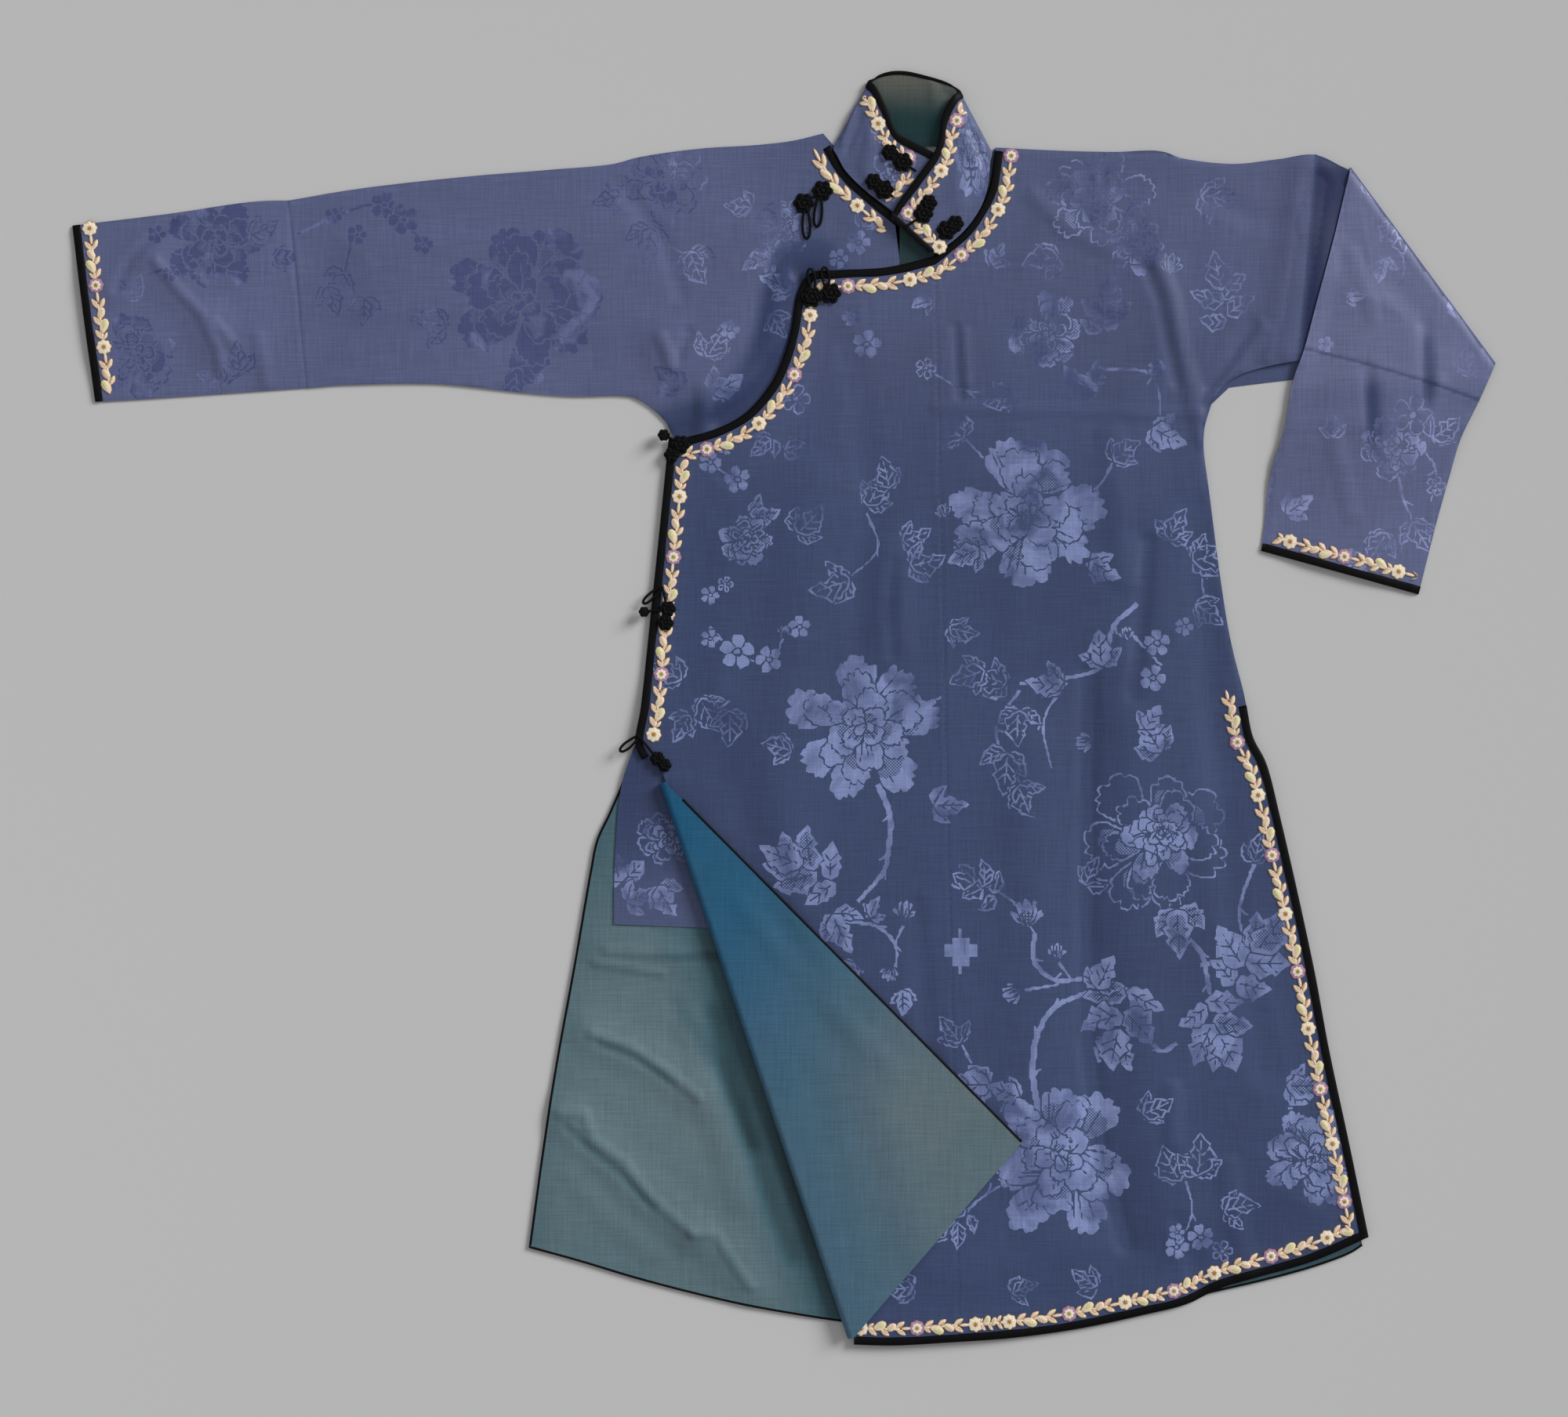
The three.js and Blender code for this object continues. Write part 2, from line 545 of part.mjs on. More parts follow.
// The rounded fold that joins the sleeve's lower layers to the turned ones
function foldBar() {
  const profile = table("in low drop", [0.3, 2.4, 0.45], [1, 0.7, 0.2], [2.1, 0, 0.05], [SLEEVE_BAR, 0, 0]);
  const shares = [0.02, 0.2, 0.4, 0.6, 0.8, 0.985];
  const at = (upper) => (i, j) => {
    const row = profile[j];
    const run = sleeveCreaseLength * shares[i];
    const x = SLEEVE_CREASE[0].x + sleeveAlong.x * run + sleeveAcross.x * row.in;
    const y = SLEEVE_CREASE[0].y + sleeveAlong.y * run + sleeveAcross.y * row.in;
    return [x, y, upper ? forearmTop(x, y) * (1 - row.drop) : row.low];
  };
  return between(profile.length, shares.length, at(true), at(false));
}
add("left_sleeve_turned",
  clothWall(TURNED_OUTLINE, forearmUnder, (x, y) => DOUBLE + forearmPuff(x, y)).add(foldBar()), SLEEVE_SILK);
const EXTENSION_OUTLINE = [
  ...FOREARM_INNER.slice(3),
  ...FOREARM_OUTER.slice(0, 5),
  { x: 638, y: 282 },
  ...[...FOREARM_SEAM].reverse().slice(1, 3),
];
const PAST_CUFF = { x: -5.3, y: -19.28 };
const forearmHollow = [
  { x: 477 + FOLD_WALL, y: 345 },
  ...offsetPath(FOREARM_INNER.slice(3), FOLD_WALL).slice(0, -1),
  { x: 438 + FOLD_WALL + PAST_CUFF.x, y: 145 + PAST_CUFF.y },
  { x: 582.5 - FOLD_WALL + PAST_CUFF.x, y: 105 + PAST_CUFF.y },
  ...offsetPath(FOREARM_OUTER.slice(1, 6), FOLD_WALL),
  { x: 646 - FOLD_WALL, y: 310 },
];
add("left_sleeve_extension",
  flatSleeve(EXTENSION_OUTLINE, forearmHollow, forearmUnder, forearmPuff), SLEEVE_SILK);

// Stand collar: one band, from the end under the overlap round the back to the end on top
const COLLAR = table("neckX neckY neckZ rimX rimY rimZ",
  [125, 437, 5.6, 150, 498, 6.4],
  [110, 448, 5.4, 135, 511, 6.2],
  [96, 459, 5.2, 119.5, 519, 6.2],
  [76, 474, 5.2, 104, 528.5, 6.2],
  [56, 494, 5.2, 94, 551.5, 6.2],
  [49, 507, 5.1, 84, 571, 5.9],
  [45.5, 514, 4.0, 79, 576, 4.4],
  [48, 517, 2.3, 82, 578, 2.3],
  [62, 518, 2.1, 88, 582, 2.1],
  [88, 517, 2.1, 99, 585, 2.1],
  [118, 516, 2.1, 112, 585, 2.1],
  [150, 516, 2.1, 130, 581, 2.1],
  [176, 515, 2.1, 148, 575.5, 2.1],
  [187, 513, 2.3, 157, 570.5, 2.3],
  [190.5, 510, 4.4, 160.5, 566, 4.6],
  [189, 500, 6.2, 156, 563, 8.4],
  [187, 479, 6.6, 146, 546, 9.6],
  [180, 459, 7.0, 140, 515, 10.4],
  [165, 438, 7.8, 121, 486, 10.6],
  [147, 423, 8.6, 105, 464, 10.6],
  [134, 417, 9.0, 97, 450, 10.6]);
const collarCurve = (part) =>
  curveThrough(COLLAR.map((row) => new THREE.Vector3(row[part + "X"], row[part + "Y"], row[part + "Z"])));
const neckCurve = collarCurve("neck");
const rimCurve = collarCurve("rim");
const COLLAR_STEPS = 40;
function collarMiddle(u, v) {
  const share = clamp(u, 0, 1);
  return neckCurve.getPoint(share).lerp(rimCurve.getPoint(share), v / COLLAR_WIDTH);
}
// A place on the collar: u runs along it from 0 to 1, v is the height from the neck, lift is outwards
function onCollar(u, v, lift) {
  const step = 0.004;
  const run = collarMiddle(u + step, v).sub(collarMiddle(u - step, v));
  const rise = collarMiddle(u, COLLAR_WIDTH).sub(collarMiddle(u, 0));
  const outward = rise.cross(run).normalize();
  const place = collarMiddle(u, v).addScaledVector(outward, lift);
  return [place.x, place.y, place.z];
}
function collarWall(fromU, toU, fromV, toV, low, high, steps) {
  const rows = 2;
  const at = (lift) => (i, j) =>
    onCollar(fromU + ((toU - fromU) * i) / steps, fromV + ((toV - fromV) * j) / rows, lift);
  return between(rows + 1, steps + 1, at(high), at(low));
}
const half = CLOTH / 2;
add("collar", collarWall(0, 1, 0, COLLAR_WIDTH, -half, half, COLLAR_STEPS), SILK);
const COLLAR_LINING = { fromU: 0.38, toU: 0.63, margin: 1.5, steps: 12 };
add("collar_lining",
  collarWall(COLLAR_LINING.fromU, COLLAR_LINING.toU, 1, COLLAR_WIDTH - COLLAR_LINING.margin, -half - PLY,
    -half - SEAM_GAP, COLLAR_LINING.steps),
  LINING);

// The seat of a neck lining behind the opening
const NECK_LINING_OUTLINE = table("x y", [106.6, 398], [165, 398], [184, 440], [184, 500], [106.6, 500]);
add("neck_lining", clothWall(NECK_LINING_OUTLINE, () => PLY), LINING);

// Bindings
const inset = BINDING_WIDTH / 2;
const bindingStep = 18;
const binding = (path, lay, offset = inset) =>
  strip(evenPath(offsetPath(path, offset), bindingStep), () => inset - 0.1, lay, BINDING_THICK);
const overlapEdge = [...NECK_LEFT, ...OVERLAP_CURVE, { x: -106, y: 244 }];
const sideEdge = [{ x: -105.5, y: 248 }, ...SIDE_RIGHT.slice(1), { x: -130, y: -47 }];
add("binding_overlap", binding(overlapEdge, onOuter).add(binding(sideEdge, onOuter)), SATIN);
const HEM_START = { x: 69, y: -583.2 };
const ventEdge = [FRONT_HEM[FRONT_HEM.length - 1], ...FRONT_VENT_LEFT];
add("binding_hem",
  binding([HEM_START, ...FRONT_HEM.slice(1)], onOuter).add(binding(ventEdge, onOuter)), SATIN);
add("binding_neck", binding(NECK_RIGHT, onInner, -inset), SATIN);
add("binding_right_cuff", binding(CUFF_RIGHT, onRightCuff), SATIN);
const LEFT_CUFF = table("x y", [438, 145], [582.5, 105]);
add("binding_left_cuff", binding(LEFT_CUFF, onForearm), SATIN);

// Narrow edges of the back and of the turned corner, beside their lining
const onBack = (x, y, lift) => [x, y, CLOTH + lift];
const backEdge = [{ x: -139, y: -40 }, ...BACK_VENT_RIGHT, ...BACK_HEM];
add("edge_back",
  strip(offsetPath(backEdge, EDGE_WIDTH / 2), () => EDGE_WIDTH / 2 - 0.05, onBack, CLOTH, SEAM_GAP), SATIN);
const edgeStations = cornerStations.slice(2, -1);
const cornerEdge = (lift) => (i, j) => {
  const t = edgeStations[i];
  const n = cornerReach(t) - (j ? 0 : edgeWidthAt(t));
  const [x, y] = cornerPoint(t, n, 0);
  const sink = 4.5 * (1 - smooth(0, 130, n - BEND_OUTER));
  return [x, y, outerTop(x, y) + 1.1 + sink + lift];
};
add("edge_corner", between(2, edgeStations.length, cornerEdge(2 * CLOTH + SEAM_GAP), cornerEdge(0)), SATIN);

// Collar binding: round the rim and down the end on top
const collarLength = neckCurve.getLength();
const onCollarCloth = (along, v, lift) => onCollar(along / collarLength, v, half + lift);
const COLLAR_LIFT = 0.7;
const collarStrip = (path, halfWidthAt, thick) => strip(path, halfWidthAt, onCollarCloth, thick, COLLAR_LIFT);
const shares = (count) => Array.from({ length: count + 1 }, (_, i) => i / count);
const rimRun = (from, to, v, count) =>
  shares(count).map((share) => ({ x: collarLength * (from + (to - from) * share), y: v }));
const endRun = (inward, fromV, toV, count) =>
  shares(count).map((share) => ({ x: collarLength - inward, y: fromV + (toV - fromV) * share }));
add("binding_collar",
  collarStrip(rimRun(0.06, 0.999, COLLAR_WIDTH - inset, COLLAR_STEPS), () => inset - 0.1, BINDING_THICK)
    .add(collarStrip(endRun(inset, COLLAR_WIDTH - 1, 1, 5), () => inset - 0.1, BINDING_THICK)), SATIN);

// Braid: flowers at each repeat with leaf pairs between them
const BRAID_PROFILE = table("share half",
  [0, 1], [0.11, 0.85], [0.18, 0.3], [0.36, 0.72], [0.5, 0.35], [0.64, 0.72], [0.82, 0.3], [0.89, 0.85]);
function braid(path, lay, lift = STRIP_LIFT) {
  const line = flatCurve(path);
  const length = line.getLength();
  const halves = [];
  const run = [];
  for (let start = 0; start < length; start += BRAID_REPEAT)
    for (const row of BRAID_PROFILE) {
      const along = start + row.share * BRAID_REPEAT;
      if (along > length) break;
      const place = line.getPointAt(along / length);
      run.push({ x: place.x, y: place.y });
      halves.push(row.half * BRAID_HALF);
    }
  return strip(run, (i) => halves[i], lay, BRAID_THICK, lift);
}
const braidOn = (path, lay, offset = BRAID_INSET) => braid(offsetPath(path, offset), lay);
const sideBraid = [{ x: -107.3, y: 231 }, ...SIDE_RIGHT.slice(1)];
add("braid_overlap",
  braidOn([...NECK_LEFT, ...OVERLAP_CURVE], onOuter).add(braidOn(sideBraid, onOuter)), BRAID);
add("braid_hem",
  braidOn([{ x: 73, y: -583.3 }, ...FRONT_HEM.slice(1, 9), { x: 527, y: -490 }], onOuter)
    .add(braidOn([{ x: 534, y: -476 }, ...FRONT_VENT_LEFT, { x: 420, y: 20 }], onOuter)), BRAID);
add("braid_neck", braidOn([{ x: 44, y: 514 }, ...NECK_RIGHT.slice(1)], onInner, -BRAID_INSET), BRAID);
add("braid_right_cuff", braidOn(table("x y", [-652, 437], [-646, 388], [-633, 288]), onRightCuff), BRAID);
add("braid_left_cuff", braidOn(table("x y", [445, 143], [576, 107]), onForearm), BRAID);
const collarBraidV = COLLAR_WIDTH - BRAID_INSET;
add("braid_collar_over",
  braid(rimRun(0.73, 0.985, collarBraidV, 8), onCollarCloth, SEAM_GAP)
    .add(braid(endRun(BRAID_INSET, collarBraidV, 6, 4), onCollarCloth, SEAM_GAP)), BRAID);
add("braid_collar_under", braid(rimRun(0.27, 0.12, collarBraidV, 8), onCollarCloth, SEAM_GAP), BRAID);

// Frogs of black cord
const ROSETTE_THICK = 3;
const CORD_THICK = 2.2;
function rosette(x, y, radius, z) {
  const shape = new THREE.Shape();
  const points = 15;
  for (let i = 0; i < points; i++) {
    const angle = (2 * Math.PI * i) / points;
    const r = radius * (i % 3 === 0 ? 0.72 : 1);
    if (i === 0) shape.moveTo(x + r * Math.cos(angle), y + r * Math.sin(angle));
    else shape.lineTo(x + r * Math.cos(angle), y + r * Math.sin(angle));
  }
  const geometry = new THREE.ExtrudeGeometry(shape, { depth: ROSETTE_THICK, bevelEnabled: false });
  geometry.translate(0, 0, z);
  return solidOf(geometry);
}
function knot(x, y, radius, z) {
  const geometry = new THREE.SphereGeometry(radius, 8, 6);
  geometry.scale(1, 1, 0.7);
  geometry.translate(x, y, z + radius * 0.7);
  return solidOf(geometry);
}
function cordRun(points, z) {
  const flat = (x, y, lift) => [x, y, z + lift];
  return strip(points, () => CORD_THICK / 2, flat, CORD_THICK, 0.2);
}
// A hairpin of cord from its foot to its tip
const HAIRPIN = table("run side",
  [0, -0.25], [0.35, -0.8], [0.7, -1], [0.93, -0.6], [1, 0], [0.93, 0.6], [0.7, 1], [0.35, 0.8], [0, 0.25]);
function loop(footX, footY, tipX, tipY, spread, z) {
  const dx = tipX - footX;
  const dy = tipY - footY;
  const length = Math.hypot(dx, dy);
  return cordRun(HAIRPIN.map((row) => ({
    x: footX + dx * row.run - (dy / length) * row.side * spread,
    y: footY + dy * row.run + (dx / length) * row.side * spread,
  })), z);
}
const join = (first, ...rest) => rest.reduce((all, piece) => all.add(piece), first);
const ON_BRAID = STRIP_LIFT + BRAID_THICK + 2 * SEAM_GAP;

// The height of the collar's outer face at a place, between two shares of its length
function collarTopAt(x, y, fromU, toU) {
  let best = Infinity;
  let height = 0;
  for (let u = fromU; u <= toU; u += 0.01)
    for (let v = 0; v <= COLLAR_WIDTH; v += 6) {
      const place = onCollar(u, v, half);
      const distance = Math.hypot(place[0] - x, place[1] - y);
      if (distance < best) {
        best = distance;
        height = place[2];
      }
    }
  return height;
}
const COLLAR_FROGS = table("name smallX smallY largeX largeY endX endY fromU toU lift",
  ["upper_under", 97.2, 509.8, 108.5, 501, 121, 492.5, 0.02, 0.28, 1.7],
  ["lower_under", 82.1, 483.1, 91.4, 475.9, 100, 469, 0.02, 0.28, 0.3],
  ["upper_over", 132.5, 463, 127.4, 453.2, 110, 440, 0.75, 1, 1.7],
  ["lower_over", 157, 444.2, 149, 438.2, 142, 431.5, 0.75, 1, 0.3]);
for (const frog of COLLAR_FROGS) {
  const spots = ["small", "large", "end"].map((name) => ({ x: frog[name + "X"], y: frog[name + "Y"] }));
  const heights = spots.map((spot) => collarTopAt(spot.x, spot.y, frog.fromU, frog.toU));
  const z = Math.max(...heights) + frog.lift;
  const [small, large] = spots;
  add("frog_collar_" + frog.name,
    join(rosette(large.x, large.y, 7.6, z), rosette(small.x, small.y, 6.3, z), cordRun(spots, z)), CORD);
}
const chestZ = innerTop(27, 470) + 2 * SEAM_GAP;
const cordBetween = (z, ...points) => cordRun(table("x y", ...points), z);
add("frog_chest",
  join(
    rosette(35.3, 475.2, 9.4, chestZ),
    rosette(18, 463.7, 9.4, chestZ),
    loop(33, 472, 30.2, 442, 3.4, chestZ),
    loop(20, 462, 20.9, 431, 3.4, chestZ),
    cordBetween(chestZ, [18, 463.7], [35.3, 475.2]),
  ), CORD);
const cornerFrogZ = outerTop(34, 380) + ON_BRAID;
add("frog_overlap_corner",
  join(
    rosette(42.5, 380.9, 9.8, cornerFrogZ),
    rosette(25.2, 377.3, 9.8, cornerFrogZ),
    loop(27, 382, 23.8, 403, 3.2, cornerFrogZ),
    loop(40, 384, 36.7, 404.5, 3.2, cornerFrogZ),
    cordBetween(cornerFrogZ, [25.2, 377.3], [42.5, 380.9]),
  ), CORD);
const underarmZ = outerTop(-95, 242) + ON_BRAID;
add("frog_underarm",
  join(
    rosette(-95, 241.9, 8.6, underarmZ),
    knot(-110.2, 250.6, 5.6, underarmZ - 0.6),
    rosette(-103, 232.6, 6.5, underarmZ),
    cordBetween(underarmZ, [-110.2, 250.6], [-95, 241.9], [-103, 232.6]),
  ), CORD);
const sideZ = outerTop(-107, 85) + ON_BRAID;
add("frog_side",
  join(
    rosette(-106.6, 91.4, 6.8, sideZ),
    rosette(-108.7, 78.6, 6.8, sideZ),
    knot(-128.2, 88.6, 5, sideZ - 0.5),
    cordBetween(sideZ, [-106.6, 91.4], [-128.2, 88.6]),
    cordBetween(sideZ, [-106.6, 91.4], [-108.7, 78.6]),
    loop(-112, 112, -129, 96.5, 2.6, sideZ),
    cordBetween(sideZ, [-106.6, 91.4], [-112, 112]),
  ), CORD);
const ventZ = outerTop(-116, -40) + ON_BRAID - 0.8;
add("frog_vent",
  join(
    rosette(-116, -46, 6, ventZ),
    rosette(-109.5, -52, 5.5, ventZ + 0.3),
    cordBetween(ventZ + 0.15, [-117, -45], [-134.5, -23.5]),
    loop(-132.5, -25, -150, -39, 2.8, ventZ + 0.4),
  ), CORD);

const group = new THREE.Group();
for (const { name, solid, finish } of solids) {
  const mesh = solid.getMesh();
  const geometry = new THREE.BufferGeometry();
  geometry.setAttribute("position", new THREE.BufferAttribute(mesh.vertProperties, 3));
  geometry.setIndex(new THREE.BufferAttribute(mesh.triVerts, 1));
  geometry.computeVertexNormals();
  const piece = new THREE.Mesh(geometry, new THREE.MeshStandardMaterial(finish));
  piece.name = name;
  group.add(piece);
}

export default group;
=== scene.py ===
import math
import random

import bpy
import numpy as np
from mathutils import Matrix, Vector
from mathutils.geometry import delaunay_2d_cdt


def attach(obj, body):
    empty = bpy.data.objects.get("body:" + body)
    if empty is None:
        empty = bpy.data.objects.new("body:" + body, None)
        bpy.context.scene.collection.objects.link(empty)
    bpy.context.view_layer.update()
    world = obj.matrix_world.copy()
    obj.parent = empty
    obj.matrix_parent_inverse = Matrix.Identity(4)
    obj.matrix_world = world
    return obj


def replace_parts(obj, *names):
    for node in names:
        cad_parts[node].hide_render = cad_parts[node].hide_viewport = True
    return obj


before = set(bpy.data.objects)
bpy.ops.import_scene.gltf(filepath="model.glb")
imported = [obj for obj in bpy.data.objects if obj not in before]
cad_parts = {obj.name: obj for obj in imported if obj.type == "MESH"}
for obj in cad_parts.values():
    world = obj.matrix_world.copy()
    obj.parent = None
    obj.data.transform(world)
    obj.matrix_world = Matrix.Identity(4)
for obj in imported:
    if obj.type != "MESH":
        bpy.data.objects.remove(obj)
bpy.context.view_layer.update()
bpy.ops.object.select_all(action="DESELECT")
mm = 0.001

# Edges of the robe, as the solids have them
edges = {
    "shoulderRight": [(36, 528), (9, 521.5), (-24, 517.5), (-78, 514), (-134, 506), (-157, 500), (-217, 494.5),
                      (-290, 488.5), (-392, 477), (-454, 466.6)],
    "cuffSideTop": [(-454, 466.6), (-486, 465.5), (-567, 454), (-653, 443.5)],
    "cuffRight": [(-653, 443.5), (-646, 388), (-632, 281.5)],
    "cuffSideBottom": [(-632, 281.5), (-613, 282.5), (-516, 289), (-437, 294.5)],
    "underRight": [(-437, 294.5), (-406, 297), (-317, 298), (-239, 290), (-194, 286.6), (-140, 286), (-122, 276),
                   (-109, 263.5), (-101.5, 249)],
    "sideRight": [(-106, 243), (-114.5, 158), (-124, 67), (-131, 1), (-136, -33)],
    "backVentRight": [(-147, -64), (-160, -95), (-172, -121), (-178, -150), (-192, -231), (-210, -330),
                      (-222, -408), (-234, -495)],
    "backHem": [(-234, -495), (-187, -508), (-130, -525), (-50, -545), (14, -557), (80, -566), (160, -570),
                (212, -566), (270, -560), (331, -550), (402, -534), (439, -525.5), (485, -513),
                (520, -500), (531, -493)],
    "backVentLeft": [(531, -493), (526, -470), (505, -356), (481, -234), (451, -100), (430, -36), (420, 3)],
    "sideLeft": [(422, 14), (410, 62), (402, 109), (390, 200), (385, 241), (386, 258), (392, 279)],
    "underLeft": [(400, 293), (416, 305), (471, 319), (640, 322)],
    "shoulderLeft": [(520, 497), (488, 508.5), (451, 504), (412, 500), (366, 505), (346, 511.5), (302, 511),
                     (256, 512), (194, 515)],
    "neckRight": [(42, 517), (56, 494), (76, 474), (106, 449)],
    "neckLeft": [(194, 512), (192, 497.5), (189, 479), (180, 459), (165, 438), (147, 423), (136, 414)],
    "overlap": [(136, 414), (94, 404.6), (50, 402), (24, 399), (13, 382), (6.5, 345), (-3, 315), (-14, 294.5),
                (-35, 271), (-60.5, 257), (-99, 246)],
    "frontHem": [(60, -583), (100, -584), (155, -581), (212, -577), (270, -569), (331, -556), (369, -546.5),
                 (402.5, -531), (485, -507), (536, -485)],
    "frontVentLeft": [(536, -485), (529, -451), (518, -398), (500, -314), (485, -234), (455, -100), (442, -50),
                      (430, -26), (424, 3)],
    "innerFoot": [(-79, -201), (-156, -198), (-155, -137), (-149, -70), (-138, -36)],
    "cornerCrease": [(-119.5, -51.8), (59.8, -581.8)],
    "sleeveCrease": [(520, 497), (653, 317)],
    "forearmInner": [(516, 479.5), (506, 438.5), (491, 383), (477, 330), (467, 301), (459, 256), (447, 218),
                     (441, 168.5), (438, 145)],
    "forearmOuter": [(582.5, 105), (588, 127), (597, 163), (609, 207), (621, 248), (638, 283), (653, 317)],
    "forearmSeam": [(470, 332), (477, 330), (526, 318), (585, 301), (646, 280)],
}
centreSeam = ((136, 520), (161, -600))

# Folds of the cloth: height over 0 is a ridge, under 0 a trough, gone at two widths
sleeveFolds = [
    (2.2, 16, [(-612, 386), (-598, 414), (-562, 446)]),
    (2.4, 18, [(-578, 412), (-534, 364), (-516, 306)]),
    (1.6, 18, [(-523, 356), (-506, 335)]),
    (1.6, 16, [(-480, 340), (-474, 296)]),
    (2.2, 20, [(-113, 340), (-102, 316)]),
    (1.8, 18, [(-74, 292), (-74, 258)]),
]
frontFolds = [
    (-2.6, 24, [(279, 32), (277, -177), (290, -410), (325, -526)]),
    (2.4, 28, [(318, 30), (322, -180), (338, -400), (368, -500)]),
    (2.2, 26, [(228, -40), (222, -240), (240, -470)]),
    (2.4, 20, [(343, 405), (361, 340), (384, 248)]),
    (-1.6, 18, [(333, 153), (330, 109), (320, 14)]),
    (2.4, 20, [(438, 348), (417, 315), (394, 283)]),
    (1.8, 22, [(99, 134), (99, 50)]),
    (2.0, 26, [(30, 200), (10, 40), (0, -120)]),
]
sleeveRidge = [(5.5, 20, [(484, 492), (476, 400), (462, 330)])]
liningFolds = [
    (2.6, 16, [(-162, -223), (-71, -227)]),
    (3.2, 17, [(-176, -298), (-107, -333), (-79, -356)]),
    (3.0, 17, [(-206, -371), (-176, -395), (-125, -445), (-84, -481)]),
    (2.4, 16, [(-84, -481), (-50, -503), (-31, -530)]),
]


def smooth(start, end, value):
    t = np.clip((value - start) / (end - start), 0, 1)
    return t * t * (3 - 2 * t)


# From the photo's pixels to millimetres on the floor
def inMm(px, py, digits=0):
    return round((px - 1000) * 0.72, digits), round((904 - py) * 0.72, digits)


def unit(rows):
    return rows / np.maximum(np.linalg.norm(rows, axis=1), 1e-9)[:, None]


# The way to the left of a path at each of its points
def leftOf(path):
    run = unit(np.gradient(path, axis=0))
    return np.column_stack([-run[:, 1], run[:, 0]])


def pathDistance(path, x, y, closed=False):
    points = np.asarray(path, float)
    if closed:
        points = np.vstack([points, points[:1]])
    best = np.full(np.shape(x), 1e12)
    for a, b in zip(points[:-1], points[1:]):
        d = b - a
        if d @ d == 0:
            continue
        t = np.clip(((x - a[0]) * d[0] + (y - a[1]) * d[1]) / (d @ d), 0, 1)
        best = np.minimum(best, (x - a[0] - t * d[0]) ** 2 + (y - a[1] - t * d[1]) ** 2)
    return np.sqrt(best)


def nearestOf(paths, x, y):
    return np.min([pathDistance(path, x, y) for path in paths], axis=0)


def isInside(outline, x, y):
    points = np.asarray(outline, float)
    inside = np.zeros(np.shape(x), bool)
    for a, b in zip(points, np.roll(points, 1, axis=0)):
        if a[1] == b[1]:
            continue
        crosses = (a[1] > y) != (b[1] > y)
        inside ^= crosses & (x < (b[0] - a[0]) * (y - a[1]) / (b[1] - a[1]) + a[0])
    return inside


def depthInside(outline, x, y):
    return np.where(isInside(outline, x, y), pathDistance(outline, x, y, True), 0)


def foldHeight(folds, x, y, reach=2):
    total = np.zeros(np.shape(x))
    for height, width, path in folds:
        d = np.minimum(pathDistance(path, x, y) / (reach * width), 1)
        total += height * (1 - d * d) ** 3
    return total


# A path in even short steps, rounded at its points
def curve(points, step=3.0):
    p = np.asarray(points, float)
    if len(p) == 2:
        count = max(1, round(np.linalg.norm(p[1] - p[0]) / step))
        return p[0] + (p[1] - p[0]) * np.linspace(0, 1, count + 1)[:, None]
    p = np.vstack([2 * p[0] - p[1], p, 2 * p[-1] - p[-2]])
    out = []
    for p0, p1, p2, p3 in zip(p, p[1:], p[2:], p[3:]):
        k = [0.0]
        for a, b in ((p0, p1), (p1, p2), (p2, p3)):
            k.append(k[-1] + max(np.linalg.norm(b - a), 1e-6) ** 0.5)
        count = max(1, round(np.linalg.norm(p2 - p1) / step))
        t = np.linspace(k[1], k[2], count, endpoint=False)[:, None]
        a1 = (k[1] - t) / (k[1] - k[0]) * p0 + (t - k[0]) / (k[1] - k[0]) * p1
        a2 = (k[2] - t) / (k[2] - k[1]) * p1 + (t - k[1]) / (k[2] - k[1]) * p2
        a3 = (k[3] - t) / (k[3] - k[2]) * p2 + (t - k[2]) / (k[3] - k[2]) * p3
        b1 = (k[2] - t) / (k[2] - k[0]) * a1 + (t - k[0]) / (k[2] - k[0]) * a2
        b2 = (k[3] - t) / (k[3] - k[1]) * a2 + (t - k[1]) / (k[3] - k[1]) * a3
        out.append((k[2] - t) / (k[2] - k[1]) * b1 + (t - k[1]) / (k[2] - k[1]) * b2)
    return np.vstack(out + [p[-2]])


# Paths joined end to end into one outline
def outlineOf(*paths):
    points = np.vstack([curve(path) if isinstance(path, list) else np.asarray(path, float) for path in paths])
    keep = np.linalg.norm(points - np.roll(points, 1, axis=0), axis=1) > 0.05
    return points[keep]


def offsetPath(points, offset):
    p = np.asarray(points, float)
    return p + offset * leftOf(p)


def lengthOf(points):
    return np.concatenate([[0], np.cumsum(np.linalg.norm(np.diff(points, axis=0), axis=1))])


# Heights of the undersides, layer by layer, as the solids have them
cloth, gap, ply = 1.2, 0.3, 1.5
corner = {"base": 6.0, "bendHeight": 4.0, "start": 18.0, "end": 555.0, "tipAlong": 435.5, "tipReach": 210.0,
          "zero": 5.0, "lift": 1.1, "sink": 4.5, "sinkReach": 130.0}
creaseFrom = np.array(edges["cornerCrease"][0], float)
creaseRun = np.array(edges["cornerCrease"][1], float) - creaseFrom
creaseLength = np.linalg.norm(creaseRun)
along = creaseRun / creaseLength
across = np.array([-along[1], along[0]])
sleeveLine = offsetPath(edges["sleeveCrease"], -3.3)
cornerLine = offsetPath(edges["cornerCrease"], corner["bendHeight"] + ply)


def pastCorner(x, y):
    return (x - creaseFrom[0]) * across[0] + (y - creaseFrom[1]) * across[1]


def skirt(y):
    return smooth(42, -12, y)


